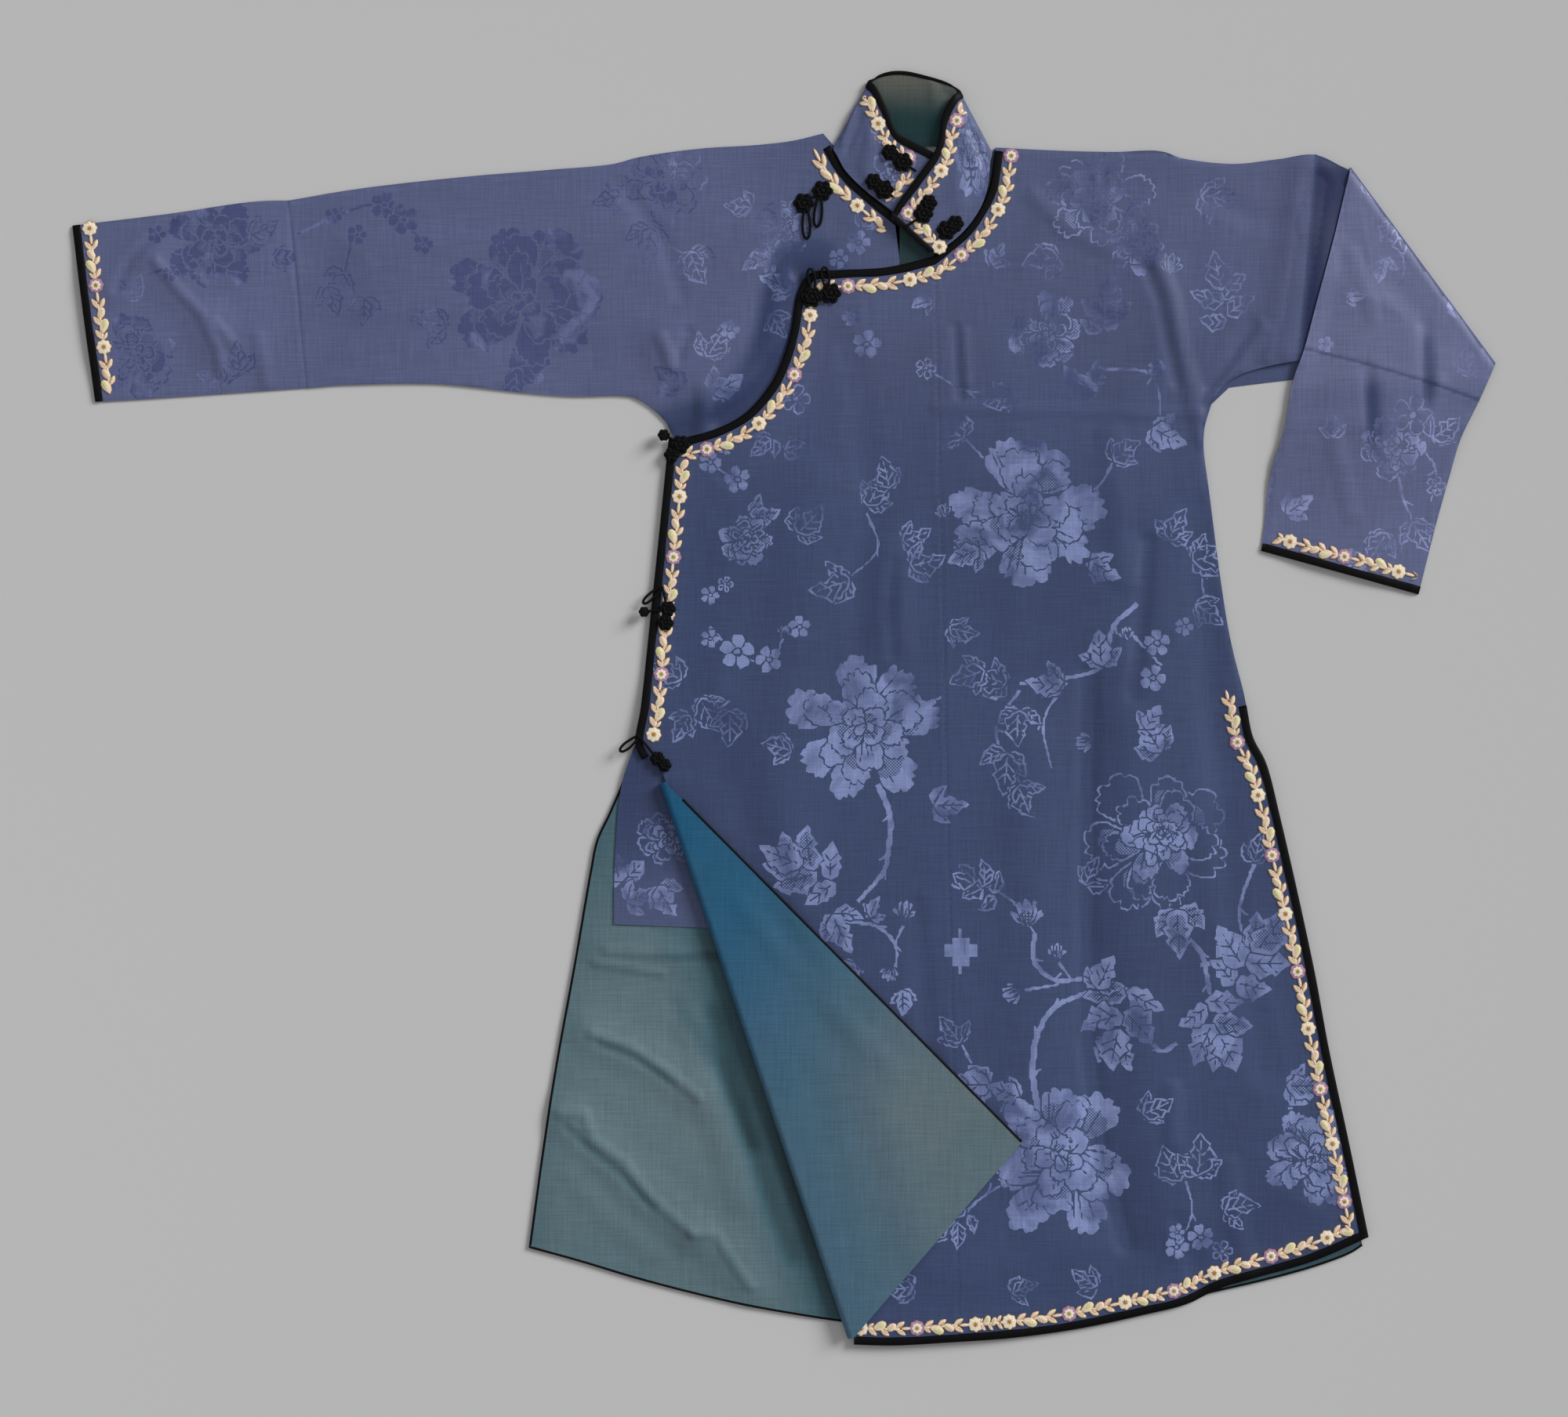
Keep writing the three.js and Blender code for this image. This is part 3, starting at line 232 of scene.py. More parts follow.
backOutline = outlineOf([(190, 508), (150, 509), (90, 510), (50, 512)], edges["shoulderRight"],
                        edges["underRight"], edges["sideRight"], edges["backVentRight"], edges["backHem"],
                        edges["backVentLeft"],
                        edges["sideLeft"], [(409, 295), (469, 302), tuple(sleeveLine[1])],
                        [tuple(sleeveLine[0]), *edges["shoulderLeft"][1:]])
hiddenEdge = [(106, 380), (60, 100), (20, -204)]
innerOutline = outlineOf(edges["neckRight"], hiddenEdge, edges["innerFoot"][:2], edges["innerFoot"][1:],
                         edges["sideRight"][::-1], edges["underRight"][::-1], edges["shoulderRight"][::-1])
coarseInner = [*edges["neckRight"], *hiddenEdge, *edges["innerFoot"], *edges["sideRight"][::-1],
               *edges["underRight"][::-1], *edges["shoulderRight"][::-1]]
outerOutline = outlineOf(edges["neckLeft"][::-1], edges["shoulderLeft"][::-1][:-1],
                         [tuple(sleeveLine[0]), (sleeveLine[1][0] - 6, 322)], edges["underLeft"][::-1],
                         edges["sideLeft"][::-1], edges["frontVentLeft"][::-1], edges["frontHem"][::-1][:-1],
                         [tuple(cornerLine[1]), tuple(cornerLine[0])], np.array([(-126.5, -44.8)]),
                         edges["sideRight"][::-1], edges["overlap"][::-1])


def liningUnder(x, y):
    return ply + foldHeight(liningFolds, x, y) * smooth(-8, -45, pastCorner(x, y))


def innerUnder(x, y):
    depth = depthInside(coarseInner, x, y)
    puff = 2.4 * smooth(24, 80, depth) * smooth(60, -60, x) * smooth(150, 250, y)
    own = ply + ply * skirt(y) + puff + foldHeight(sleeveFolds, x, y) * smooth(0, 30, depth)
    return np.where(y > -30, own, np.maximum(own, liningUnder(x, y) + ply))


def outerUnder(x, y):
    depth = depthInside(outerOutline[::6], x, y)
    atCorner = smooth(260, 150, x) * skirt(y)
    atSleeve = smooth(395, 440, x) * smooth(250, 290, y)
    base = 2 * ply + (corner["base"] - 2 * ply) * atCorner - ply * atSleeve
    inner = np.where(depth > 0, smooth(25, 75, depth), 0)
    nearCorner = smooth(50, 100, pathDistance(edges["cornerCrease"], x, y))
    folds = (foldHeight(frontFolds, x, y) * inner + foldHeight(sleeveRidge, x, y)) * nearCorner
    over = base + (innerUnder(x, y) + ply - base) * smooth(142, 120, x)
    return np.maximum(np.maximum(base + 3 * inner * nearCorner + folds, over), base)


def outerTop(x, y):
    return outerUnder(x, y) + cloth


def innerTop(x, y):
    return innerUnder(x, y) + cloth


doubled = 2 * cloth + gap
cuffSides = (edges["cuffSideTop"], edges["cuffSideBottom"])
forearmSides = (edges["forearmInner"], [*edges["forearmOuter"], edges["sleeveCrease"][0]])
extensionOutline = outlineOf(edges["cuffSideTop"], edges["cuffRight"], edges["cuffSideBottom"])


def rightCuffTop(x, y):
    depth = nearestOf(cuffSides, x, y)
    return doubled + 2.4 * smooth(10, 60, depth) + foldHeight(sleeveFolds, x, y) * smooth(0, 30, depth)


def forearmUnder(x, y):
    raised = smooth(175, 255, y)
    clear = outerUnder(np.minimum(x, 610), y) + ply
    return np.maximum(3.4 * raised, clear * smooth(228, 262, y))


def forearmTop(x, y):
    depth = nearestOf(forearmSides, x, y)
    return forearmUnder(x, y) + doubled + 2.2 * smooth(10, 55, depth)


def seamX(y):
    (topX, topY), (lowX, lowY) = centreSeam
    return topX + (lowX - topX) * (topY - y) / (topY - lowY)


# Finishes
def fromHex(code):
    parts = [int(code[i:i + 2], 16) / 255 for i in (1, 3, 5)]
    return [c / 12.92 if c <= 0.04045 else ((c + 0.055) / 1.055) ** 2.4 for c in parts] + [1.0]


# A node with its settings, and with values or other nodes' outputs in its sockets
def addNode(tree, kind, settings=None, sockets=None, output=0):
    made = tree.nodes.new("ShaderNode" + kind)
    for key, value in (settings or {}).items():
        setattr(made, key, value)
    for key, value in (sockets or {}).items():
        if isinstance(value, bpy.types.NodeSocket):
            tree.links.new(value, made.inputs[key])
        else:
            made.inputs[key].default_value = value
    return made.outputs[output]


def newFinish(name, roughness, ior=1.5, specular=0.5):
    finish = bpy.data.materials.new(name)
    finish.use_nodes = True
    tree = finish.node_tree
    shader = tree.nodes["Principled BSDF"]
    shader.inputs["Roughness"].default_value = roughness
    shader.inputs["IOR"].default_value = ior
    shader.inputs["Specular IOR Level"].default_value = specular
    return finish, tree, shader


# The last step of a finish: its colour, and the relief of its threads
def dress(tree, shader, color, relief, strength, depth=0.0002):
    tree.links.new(color, shader.inputs["Base Color"])
    bump = addNode(tree, "Bump", None, {"Strength": strength, "Distance": depth, "Height": relief})
    tree.links.new(bump, shader.inputs["Normal"])


mixing = {"data_type": "RGBA", "blend_type": "MIX", "clamp_factor": True}
shading = {**mixing, "blend_type": "MULTIPLY"}


# Warp and weft together: two noises, each drawn out along its threads
def threadsOf(tree, place, fine, drawnOut, turn, detail, roughness):
    noises = []
    for scale in ((fine, drawnOut, 1), (drawnOut, fine, 1)):
        laid = addNode(tree, "Mapping", None, {"Scale": scale, "Rotation": (0, 0, turn), "Vector": place})
        noises.append(addNode(tree, "TexNoise", None, {"Scale": 1.0, "Detail": detail, "Roughness": roughness,
                                                       "Vector": laid}))
    return addNode(tree, "Math", {"operation": "ADD"}, {0: noises[0], 1: noises[1]})


# Silk damask: monochrome satin figures on a plain ground, woven of reeled silk. The ground is calm and
# slightly streaked by its threads. A figure's turn to light or dark with the lie of the cloth is painted:
# a lit and a shaded figure colour, mixed by a painted sheen value. Towards the sleeves all colours are
# paler, partly faded and partly painted sheen, and a deep navy is painted as shade in folds.
# Its threads are 0.15 mm apart, too fine to show, so they are drawn 1.5 mm apart.
silk = {"ground": "#3C4A70", "groundSleeve": "#6C7298", "dark": "#424E7C", "darkSleeve": "#494F7C",
        "light": "#8A97C9", "lightSleeve": "#98A0D0", "hollow": "#161E4C", "thread": 670.0, "streak": 26.0,
        "dotPitch": 2.9}


def silkFinish(name, figure):
    finish, tree, shader = newFinish(name, 0.52 if figure == "ground" else 0.42, 1.54, 0.28)
    place = addNode(tree, "TexCoord", output="Object")
    fadeAndPaintedLight, lie = [addNode(tree, "Attribute", {"attribute_name": key}, output="Fac") for key in ("fadeAndPaintedLight", "paintedSheen")]
    # painted sheen: the satin figure is painted lighter in soft patches, as the cloth lies
    laid = addNode(tree, "Mapping", None, {"Scale": (1, 0.8, 1), "Rotation": (0, 0, 0.4), "Vector": place})
    patches = addNode(tree, "TexNoise", None, {"Scale": 30.0, "Detail": 3.0, "Roughness": 0.55,
                                               "Distortion": 0.8, "Vector": laid})
    patches = addNode(tree, "MapRange", None, {0: patches, 1: 0.34, 2: 0.66, 3: -0.5, 4: 0.5})
    caught = addNode(tree, "Math", {"operation": "ADD", "use_clamp": True}, {0: lie, 1: patches})
    ground, dark, light = [addNode(tree, "Mix", mixing, {0: fadeAndPaintedLight, 6: fromHex(silk[tone]),
                                                         7: fromHex(silk[tone + "Sleeve"])}, 2)
                           for tone in ("ground", "dark", "light")]
    lit = addNode(tree, "Mix", mixing, {0: caught, 6: dark, 7: light}, 2)
    axes = tree.nodes.new("ShaderNodeSeparateXYZ")
    tree.links.new(place, axes.inputs[0])
    waves = []
    for axis in (0, 1):
        angle = addNode(tree, "Math", {"operation": "MULTIPLY"},
                        {0: axes.outputs[axis], 1: 2 * math.pi / (silk["dotPitch"] * mm)})
        waves.append(addNode(tree, "Math", {"operation": "SINE"}, {0: angle}))
    dots = addNode(tree, "Math", {"operation": "MULTIPLY"}, {0: waves[0], 1: waves[1]})
    # stippled satin shows the ground between its dots; whole satin is bound at points, a fine diaper
    bound = {"stipple": (-0.15, 0.25, 1.0), "figure": (-0.9, 0.2, 0.32)}.get(figure)
    color = ground
    if bound:
        bare = addNode(tree, "MapRange", None, {0: dots, 1: bound[0], 2: bound[1], 3: bound[2], 4: 0.0})
        color = addNode(tree, "Mix", mixing, {0: bare, 6: lit, 7: ground}, 2)
    threads = threadsOf(tree, place, silk["thread"], silk["streak"], 0.0, 2.0, 0.6)
    shade = addNode(tree, "MapRange", None, {0: threads, 1: 0.7, 2: 1.3, 3: 0.84, 4: 1.16})
    laid = addNode(tree, "Mapping", None, {"Scale": (1, 0.6, 1), "Vector": place})
    clouds = addNode(tree, "TexNoise", None, {"Scale": 9.0, "Detail": 3.0, "Roughness": 0.5, "Vector": laid})
    clouds = addNode(tree, "MapRange", None, {0: clouds, 1: 0.3, 2: 0.7, 3: 0.94, 4: 1.06})
    shade = addNode(tree, "Math", {"operation": "MULTIPLY"}, {0: shade, 1: clouds})
    # painted shade: below 0 the attribute mixes the colour towards a deep navy
    hollow = addNode(tree, "MapRange", None, {0: fadeAndPaintedLight, 1: -1.6, 2: 0.0, 3: 1.0, 4: 0.0})
    color = addNode(tree, "Mix", mixing, {0: hollow, 6: color, 7: fromHex(silk["hollow"])}, 2)
    grey = addNode(tree, "CombineColor", None, {0: shade, 1: shade, 2: shade})
    dress(tree, shader, addNode(tree, "Mix", shading, {0: 1.0, 6: color, 7: grey}, 2), threads, 0.25)
    return finish


# Plain-woven lining silk: thin, dull, with uneven dye and slubs. The threads are 0.3 mm apart, drawn 1.3 mm.
lining = {"thread": 760.0, "slub": 22, "turn": 0.06}


def liningFinish(name, deep, faded, stain, clouded):
    finish, tree, shader = newFinish(name, 0.6, 1.54, 0.2)
    place = addNode(tree, "TexCoord", output="Object")
    fadeAndPaintedLight = addNode(tree, "Attribute", {"attribute_name": "fadeAndPaintedLight"}, output="Fac")
    base = addNode(tree, "Mix", mixing, {0: fadeAndPaintedLight, 6: fromHex(deep), 7: fromHex(faded)}, 2)
    laid = addNode(tree, "Mapping", None, {"Scale": (1, 0.7, 1), "Vector": place})
    cloud = addNode(tree, "TexNoise", None, {"Scale": 7.0, "Detail": 4.0, "Roughness": 0.55, "Vector": laid})
    cloud = addNode(tree, "MapRange", None, {0: cloud, 1: 0.35, 2: 0.7, 3: 0.0, 4: clouded})
    base = addNode(tree, "Mix", mixing, {0: cloud, 6: base, 7: fromHex(stain)}, 2)
    threads = threadsOf(tree, place, lining["thread"], lining["slub"], lining["turn"], 3.0, 0.65)
    shade = addNode(tree, "MapRange", None, {0: threads, 1: 0.7, 2: 1.3, 3: 0.8, 4: 1.2})
    # painted shade: below 0 the attribute darkens the colour down to a quarter
    hollow = addNode(tree, "MapRange", None, {0: fadeAndPaintedLight, 1: -1.0, 2: 0.0, 3: 0.25, 4: 1.0})
    shade = addNode(tree, "Math", {"operation": "MULTIPLY"}, {0: shade, 1: hollow})
    grey = addNode(tree, "CombineColor", None, {0: shade, 1: shade, 2: shade})
    dress(tree, shader, addNode(tree, "Mix", shading, {0: 1.0, 6: base, 7: grey}, 2), threads, 0.3)
    return finish


# Ribbed trims. Black satin is bias-cut silk, near black, with a faint soft sheen and fine ribs. Woven braid
# of rayon and silk has dense fine ribs across each leaf and petal, and is softly glossy.
trims = {
    "satin": {"roughness": 0.5, "ior": 1.54, "specular": 0.1, "stretch": (900, 90, 1), "turn": 0.8,
              "scale": 1.0, "detail": 3.0, "relief": 0.2},
    "braid": {"roughness": 0.5, "ior": 1.53, "specular": 0.3, "stretch": (1, 0.35, 1), "turn": 0.5,
              "scale": 1100.0, "detail": 2.0, "relief": 0.5},
}


def trimFinish(name, kind, code, other):
    trim = trims[kind]
    finish, tree, shader = newFinish(name, trim["roughness"], trim["ior"], trim["specular"])
    place = addNode(tree, "TexCoord", output="Object")
    laid = addNode(tree, "Mapping", None, {"Scale": trim["stretch"], "Rotation": (0, 0, trim["turn"]),
                                           "Vector": place})
    ribs = addNode(tree, "TexNoise", None, {"Scale": trim["scale"], "Detail": trim["detail"], "Vector": laid})
    tone = addNode(tree, "MapRange", None, {0: ribs, 1: 0.3, 2: 0.7, 3: 0.0, 4: 1.0})
    color = addNode(tree, "Mix", mixing, {0: tone, 6: fromHex(code), 7: fromHex(other)}, 2)
    dress(tree, shader, color, ribs, trim["relief"])
    return finish


# Black silk cord: plied and stitched into knots, matt, with a visible twist every 1.6 mm
def cordFinish():
    finish, tree, shader = newFinish("black_cord", 0.7, 1.54, 0.12)
    place = addNode(tree, "TexCoord", output="Object")
    twist = addNode(tree, "TexWave", {"wave_type": "BANDS", "bands_direction": "DIAGONAL"},
                    {"Scale": 200.0, "Distortion": 1.5, "Vector": place}, "Fac")
    color = addNode(tree, "Mix", mixing, {0: twist, 6: fromHex("#030304"), 7: fromHex("#0C0C0E")}, 2)
    dress(tree, shader, color, twist, 0.6, 0.0003)
    return finish


silkSet = [silkFinish("silk_" + figure, figure) for figure in ("ground", "figure", "stipple")]
backLiningFinish = liningFinish("lining_back", "#40616C", "#677B83", "#5C7882", 0.55)
cornerLiningFinish = liningFinish("lining_corner", "#165A80", "#6A797E", "#3C6478", 0.45)
neckLiningFinish = liningFinish("lining_neck", "#123438", "#63645C", "#22444A", 0.5)
satin = trimFinish("black_satin", "satin", "#040406", "#0B0B0E")
cordBlack = cordFinish()
braidColors = {"outline": ("#BC9560", "#A07A48"), "cream": ("#FCE8D0", "#F0D4B6"),
               "white": ("#FFF8E8", "#F2E2C4"), "mauve": ("#C094BC", "#A87CA6"), "gold": ("#D08A1C", "#A86A10"),
               "yellow": ("#C8B03A", "#8A6A1C"), "pink": ("#F6D2C6", "#EABAA8"), "green": ("#E6ECB0", "#CCD48C"),
               "shadow": ("#DDBB98", "#C09A70")}
braidSet = {name: trimFinish("braid_" + name, "braid", *codes) for name, codes in braidColors.items()}
print("finishes made")


# One mesh from points in millimetres, with its own finishes, normals and values
def newPiece(name, points, faces, finishes, slotName, faceFinish=None, loopNormals=None, values=None):
    mesh = bpy.data.meshes.new(name)
    mesh.from_pydata((np.asarray(points) * mm).tolist(), [], [list(map(int, f)) for f in faces])
    for finish in finishes:
        mesh.materials.append(finish)
    if faceFinish is not None:
        mesh.polygons.foreach_set("material_index", np.asarray(faceFinish, np.int32))
    mesh.polygons.foreach_set("use_smooth", np.ones(len(mesh.polygons), bool))
    for key, data in (values or {}).items():
        mesh.attributes.new(key, "FLOAT", "POINT").data.foreach_set("value", np.asarray(data, np.float32))
    mesh.update()
    if loopNormals is not None:
        mesh.normals_split_custom_set(loopNormals.tolist())
    piece = bpy.data.objects.new(name, mesh)
    bpy.context.collection.objects.link(piece)
    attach(piece, "root")
    return piece


# The four-sided faces between rows and columns of numbered points
def gridQuads(index):
    return np.column_stack([index[:-1, :-1].ravel(), index[:-1, 1:].ravel(), index[1:, 1:].ravel(),
                            index[1:, :-1].ravel()])


# One mesh from parts, each with its points and its faces
def joined(parts):
    starts = np.cumsum([0] + [len(points) for points, _ in parts[:-1]]).tolist()
    faces = [[v + start for v in face] for start, (_, part) in zip(starts, parts) for face in part]
    return np.vstack([points for points, _ in parts]), faces


def faceNormals(points, faces):
    a, b, c = (points[faces[:, k]] for k in range(3))
    return unit(np.cross(b - a, c - a))


# Points of a triangular lattice that fill an outline, clear of its edge
def latticeIn(outline, spacing, margin=1.6):
    low, high = outline.min(axis=0), outline.max(axis=0)
    rows = []
    for j, y in enumerate(np.arange(low[1], high[1], spacing * math.sqrt(3) / 2)):
        x = np.arange(low[0] + (spacing / 2) * (j % 2), high[0], spacing)
        rows.append(np.column_stack([x, np.full(len(x), y)]))
    grid = np.vstack(rows)
    grid = grid[isInside(outline, grid[:, 0], grid[:, 1])]
    return grid[pathDistance(outline, grid[:, 0], grid[:, 1], True) > margin]


# A panel cut to an outline, with the damask's outlines in its mesh
def cutPanel(outline, spacing, figures=(), lines=()):
    points, links = [latticeIn(outline, spacing)], []
    rings = [(outline, True)] + [(figure[0], True) for figure in figures] + [(line, False) for line in lines]
    for ring, closed in rings:
        start = sum(map(len, points))
        index = np.arange(start, start + len(ring)).tolist()
        points.append(ring)
        links += list(zip(index, index[1:] + index[:1])) if closed else list(zip(index, index[1:]))
    made = delaunay_2d_cdt([Vector(p) for p in np.vstack(points).tolist()], links, [], 0, 0.02)
    flat = np.array([(p[0], p[1]) for p in made[0]])
    triangles = np.array([f for f in made[2] if len(f) == 3])
    middle = flat[triangles].mean(axis=1)
    a, b, c = (flat[triangles[:, k]] for k in range(3))
    area = (b[:, 0] - a[:, 0]) * (c[:, 1] - a[:, 1]) - (c[:, 0] - a[:, 0]) * (b[:, 1] - a[:, 1])
    triangles = np.where((area < 0)[:, None], triangles[:, ::-1], triangles)
    keep = isInside(outline, middle[:, 0], middle[:, 1]) & (np.abs(area) > 1e-5)
    triangles, middle = triangles[keep], middle[keep]
    kinds = np.zeros(len(triangles), np.int32)
    for ring, kind in figures:
        near = np.nonzero(np.all((middle >= ring.min(axis=0)) & (middle <= ring.max(axis=0)), axis=1))[0]
        kinds[near[isInside(ring, middle[near, 0], middle[near, 1])]] = kind
    return flat, triangles, kinds


# Edges of a panel that only one triangle uses, in the triangle's order
def rimEdges(triangles):
    pairs = np.vstack([triangles[:, [0, 1]], triangles[:, [1, 2]], triangles[:, [2, 0]]])
    _, first, counts = np.unique(np.sort(pairs, axis=1), axis=0, return_index=True, return_counts=True)
    return pairs[first[counts == 1]]


# A sheet of cloth: its face at place(x, y), its cut edge turned down by rimDrop(x, y)
def layCloth(name, panel, place, finishes, slotName, rimDrop=None, values=None, faceDown=False):
    flat, triangles, kinds = panel
    used, triangles = np.unique(triangles, return_inverse=True)
    triangles = triangles.reshape(-1, 3)
    x, y = flat[used, 0], flat[used, 1]
    points = place(x, y)
    step = 0.6
    normals = unit(np.cross(place(x + step, y) - place(x - step, y), place(x, y + step) - place(x, y - step)))
    if faceDown:
        triangles, normals = triangles[:, ::-1], -normals
    faces, loopNormals = triangles, normals[triangles.ravel()]
    data = {key: np.asarray(value(x, y) if callable(value) else np.full(len(x), value))
            for key, value in {"fadeAndPaintedLight": 0.0, "paintedSheen": 0.5, **(values or {})}.items()}
    if rimDrop is not None:
        rim = rimEdges(triangles)
        where, below = np.unique(rim, return_inverse=True)
        below = below.reshape(-1, 2)
        drop = rimDrop(x[where], y[where])
        lower = points[where] - np.column_stack([0 * drop, 0 * drop, drop])
        turned = np.any((drop > 0.05)[below], axis=1)
        rim, below = rim[turned], below[turned] + len(points)
        points = np.vstack([points, lower])
        walls = np.vstack([np.column_stack([rim[:, 1], rim[:, 0], below[:, 0]]),
                           np.column_stack([rim[:, 1], below[:, 0], below[:, 1]])])
        loopNormals = np.vstack([loopNormals, np.repeat(faceNormals(points, walls), 3, axis=0)])
        faces = np.vstack([faces, walls])
        kinds = np.concatenate([kinds, np.zeros(len(walls), np.int32)])
        data = {key: np.concatenate([value, value[where]]) for key, value in data.items()}
    return newPiece(name, points, faces, finishes, slotName, kinds, loopNormals, data)


def split(panel, keepAt):
    flat, triangles, kinds = panel
    middle = flat[triangles].mean(axis=1)
    keep = keepAt(middle[:, 0], middle[:, 1])
    return flat, triangles[keep], kinds[keep]


# The way an edge rolls over into its fold: how far the face sinks near a folded edge
def roll(paths, x, y, width, depth):
    t = np.clip(nearestOf(paths, x, y) / width, 0, 1)
    return depth * (1 - np.sqrt(np.clip(1 - (1 - t) ** 2, 0, 1)))


# Damask figures, drawn for this robe from the usual peony, plum and leaf. Each is a list of closed outlines
# with what the weave does inside: 0 the plain ground, 1 satin, 2 satin broken up by ground dots.
damask = {"step": 1.44, "point": 2.7, "halo": 1.5, "line": 1.9}


def woven(points):
    p = np.round(np.asarray(points) / damask["step"]) * damask["step"]
    return p[np.any(p != np.roll(p, 1, axis=0), axis=1)]


# Points given along and across a turned shape, put in their place
def turnTo(x, y, turn, u, v):
    c, s = math.cos(turn), math.sin(turn)
    return np.column_stack([x + u * c - v * s, y + u * s + v * c])


def shapeAt(x, y, long, wide, turn, notches, draw):
    count = max(12, int((long + wide) * 1.6 / damask["point"]))
    a = np.linspace(0, 2 * math.pi, count, endpoint=False)
    taper = 0.78 + 0.22 * np.cos(a)
    radius = np.ones(count)
    for at, depth, span in notches:
        off = (a - at + math.pi) % (2 * math.pi) - math.pi
        radius -= depth * np.exp(-(off / span) ** 2)
    radius += 0.035 * np.sin(3 * a + draw.uniform(0, 6)) + 0.02 * np.sin(7 * a + draw.uniform(0, 6))
    return turnTo(x, y, turn, long / 2 * np.cos(a) * radius, wide / 2 * np.sin(a) * taper * radius)


def grown(points, by):
    middle = points.mean(axis=0)
    away = points - middle
    far = np.maximum(np.linalg.norm(away, axis=1), 1e-6)[:, None]
    return middle + away * (far + by) / far


def strokeOf(points, wide, endWide=0.5):
    p = curve([tuple(q) for q in points], damask["point"])
    w = np.linspace(wide, endWide, len(p)) / 2
    side = leftOf(p) * w[:, None]
    return np.vstack([p + side, (p - side)[::-1]])


def petal(x, y, long, wide, turn, draw, kind="satin", notchCount=3):
    notches = [(-1.3 + 2.6 * (k + draw.random()) / notchCount, draw.uniform(0.10, 0.30),
                draw.uniform(0.07, 0.13))
               for k in range(notchCount)]
    shape = shapeAt(x, y, long, wide, turn, notches, draw)
    out = [(grown(shape, damask["halo"]), 0), (shape, 1)]
    c, s = math.cos(turn), math.sin(turn)
    if kind == "line":
        out.append((grown(shape, -damask["line"]), 0))
        if draw.random() < 0.5:
            heart = shapeAt(x - c * long * 0.12, y - s * long * 0.12, long * 0.55, wide * 0.6, turn, [], draw)
            out.append((heart, 2))
        return out
    if kind == "dotted":
        out.append((grown(shape, -damask["line"]), 2))
    elif draw.random() < 0.55:
        root = x - c * long * 0.18, y - s * long * 0.18
        shaded = shapeAt(*root, long * 0.6, wide * 0.78, turn, notches, draw)
        out.append((shaded, 2))
    for k in range(draw.randint(1, 3)):
        bend = draw.uniform(-0.5, 0.5)
        start = (x - c * long * 0.42 - s * wide * bend * 0.3, y - s * long * 0.42 + c * wide * bend * 0.3)
        end = (x + c * long * draw.uniform(0.0, 0.3) - s * wide * bend * 0.6,
               y + s * long * draw.uniform(0.0, 0.3) + c * wide * bend * 0.6)
        out.append((strokeOf([start, end], 1.7, 0.9), 0))
    return out


# Rings of petals from the outside in: how many, how far out, how long and how wide, in sizes
peonyRings = ((7, 0.62, 0.66, 0.64), (6, 0.45, 0.54, 0.52), (5, 0.29, 0.42, 0.40), (4, 0.15, 0.30, 0.26),
              (3, 0.05, 0.18, 0.14))


def peony(x, y, size, turn, draw, style="satin"):
    out = []
    for level, (count, far, long, wide) in enumerate(peonyRings):
        for k in range(count):
            a = turn + 2 * math.pi * (k + 0.5 * (level % 2)) / count + draw.uniform(-0.2, 0.2)
            r = size * far * draw.uniform(0.85, 1.15)
            kind = {"satin": "satin", "line": "line" if level < 2 else "satin",
                    "dotted": draw.choice(["dotted", "satin", "line"])}[style]
            out += petal(x + r * math.cos(a), y + r * math.sin(a), size * long * draw.uniform(0.8, 1.15),
                         size * wide * draw.uniform(0.7, 1.25), a + draw.uniform(-0.4, 0.4), draw, kind,
                         draw.randint(4, 6))
    return out


# One jagged blade of a peony leaf, from its foot
def blade(x, y, long, wide, turn, draw, style="satin"):
    t = np.linspace(0, 1, max(8, int(long / damask["point"])))
    half = wide / 2 * np.sin(np.pi * t ** 0.72) ** 0.85
    mid = draw.uniform(-0.16, 0.16) * long * np.sin(np.pi * t)
    saws = [1 + 0.5 * (((3 - t * draw.uniform(2.6, 3.6)) + draw.random()) % 1 - 0.5) for _ in range(2)]
    v = np.concatenate([mid + half * saws[0], (mid - half * saws[1])[::-1]])
    shape = turnTo(x, y, turn, np.concatenate([t, t[::-1]]) * long, v)
    out = [(grown(shape, damask["halo"]), 0), (shape, 1)]
    if style == "line":
        out.append((grown(shape, -damask["line"]), 0))
    elif style == "dotted" or draw.random() < 0.3:
        out.append((grown(shape, -0.16 * wide), 2))
    veins = [(0.12, 0.82, 0.0)]
    if long > 24:
        veins += [(at, at + 0.2, side * 0.34) for at in (0.25, 0.48) for side in (1, -1)]
    for start, end, rise in veins:
        off = np.interp([start, end], t, mid) + [0, rise * wide]
        ends = turnTo(x, y, turn, np.array([start, end]) * long, off)
        out.append((strokeOf(ends, 1.5, 0.9), 1 if style == "line" else 0))
    return out


def leaf(x, y, size, turn, draw, style="satin"):
    out = []
    spreads = draw.uniform(0.7, 1.0), -draw.uniform(0.7, 1.0), draw.uniform(-0.15, 0.15)
    for spread, long in zip(spreads, (0.95, 0.95, 1.35)):
        out += blade(x, y, size * long, size * long * draw.uniform(0.5, 0.62), turn + spread, draw, style)
    return out


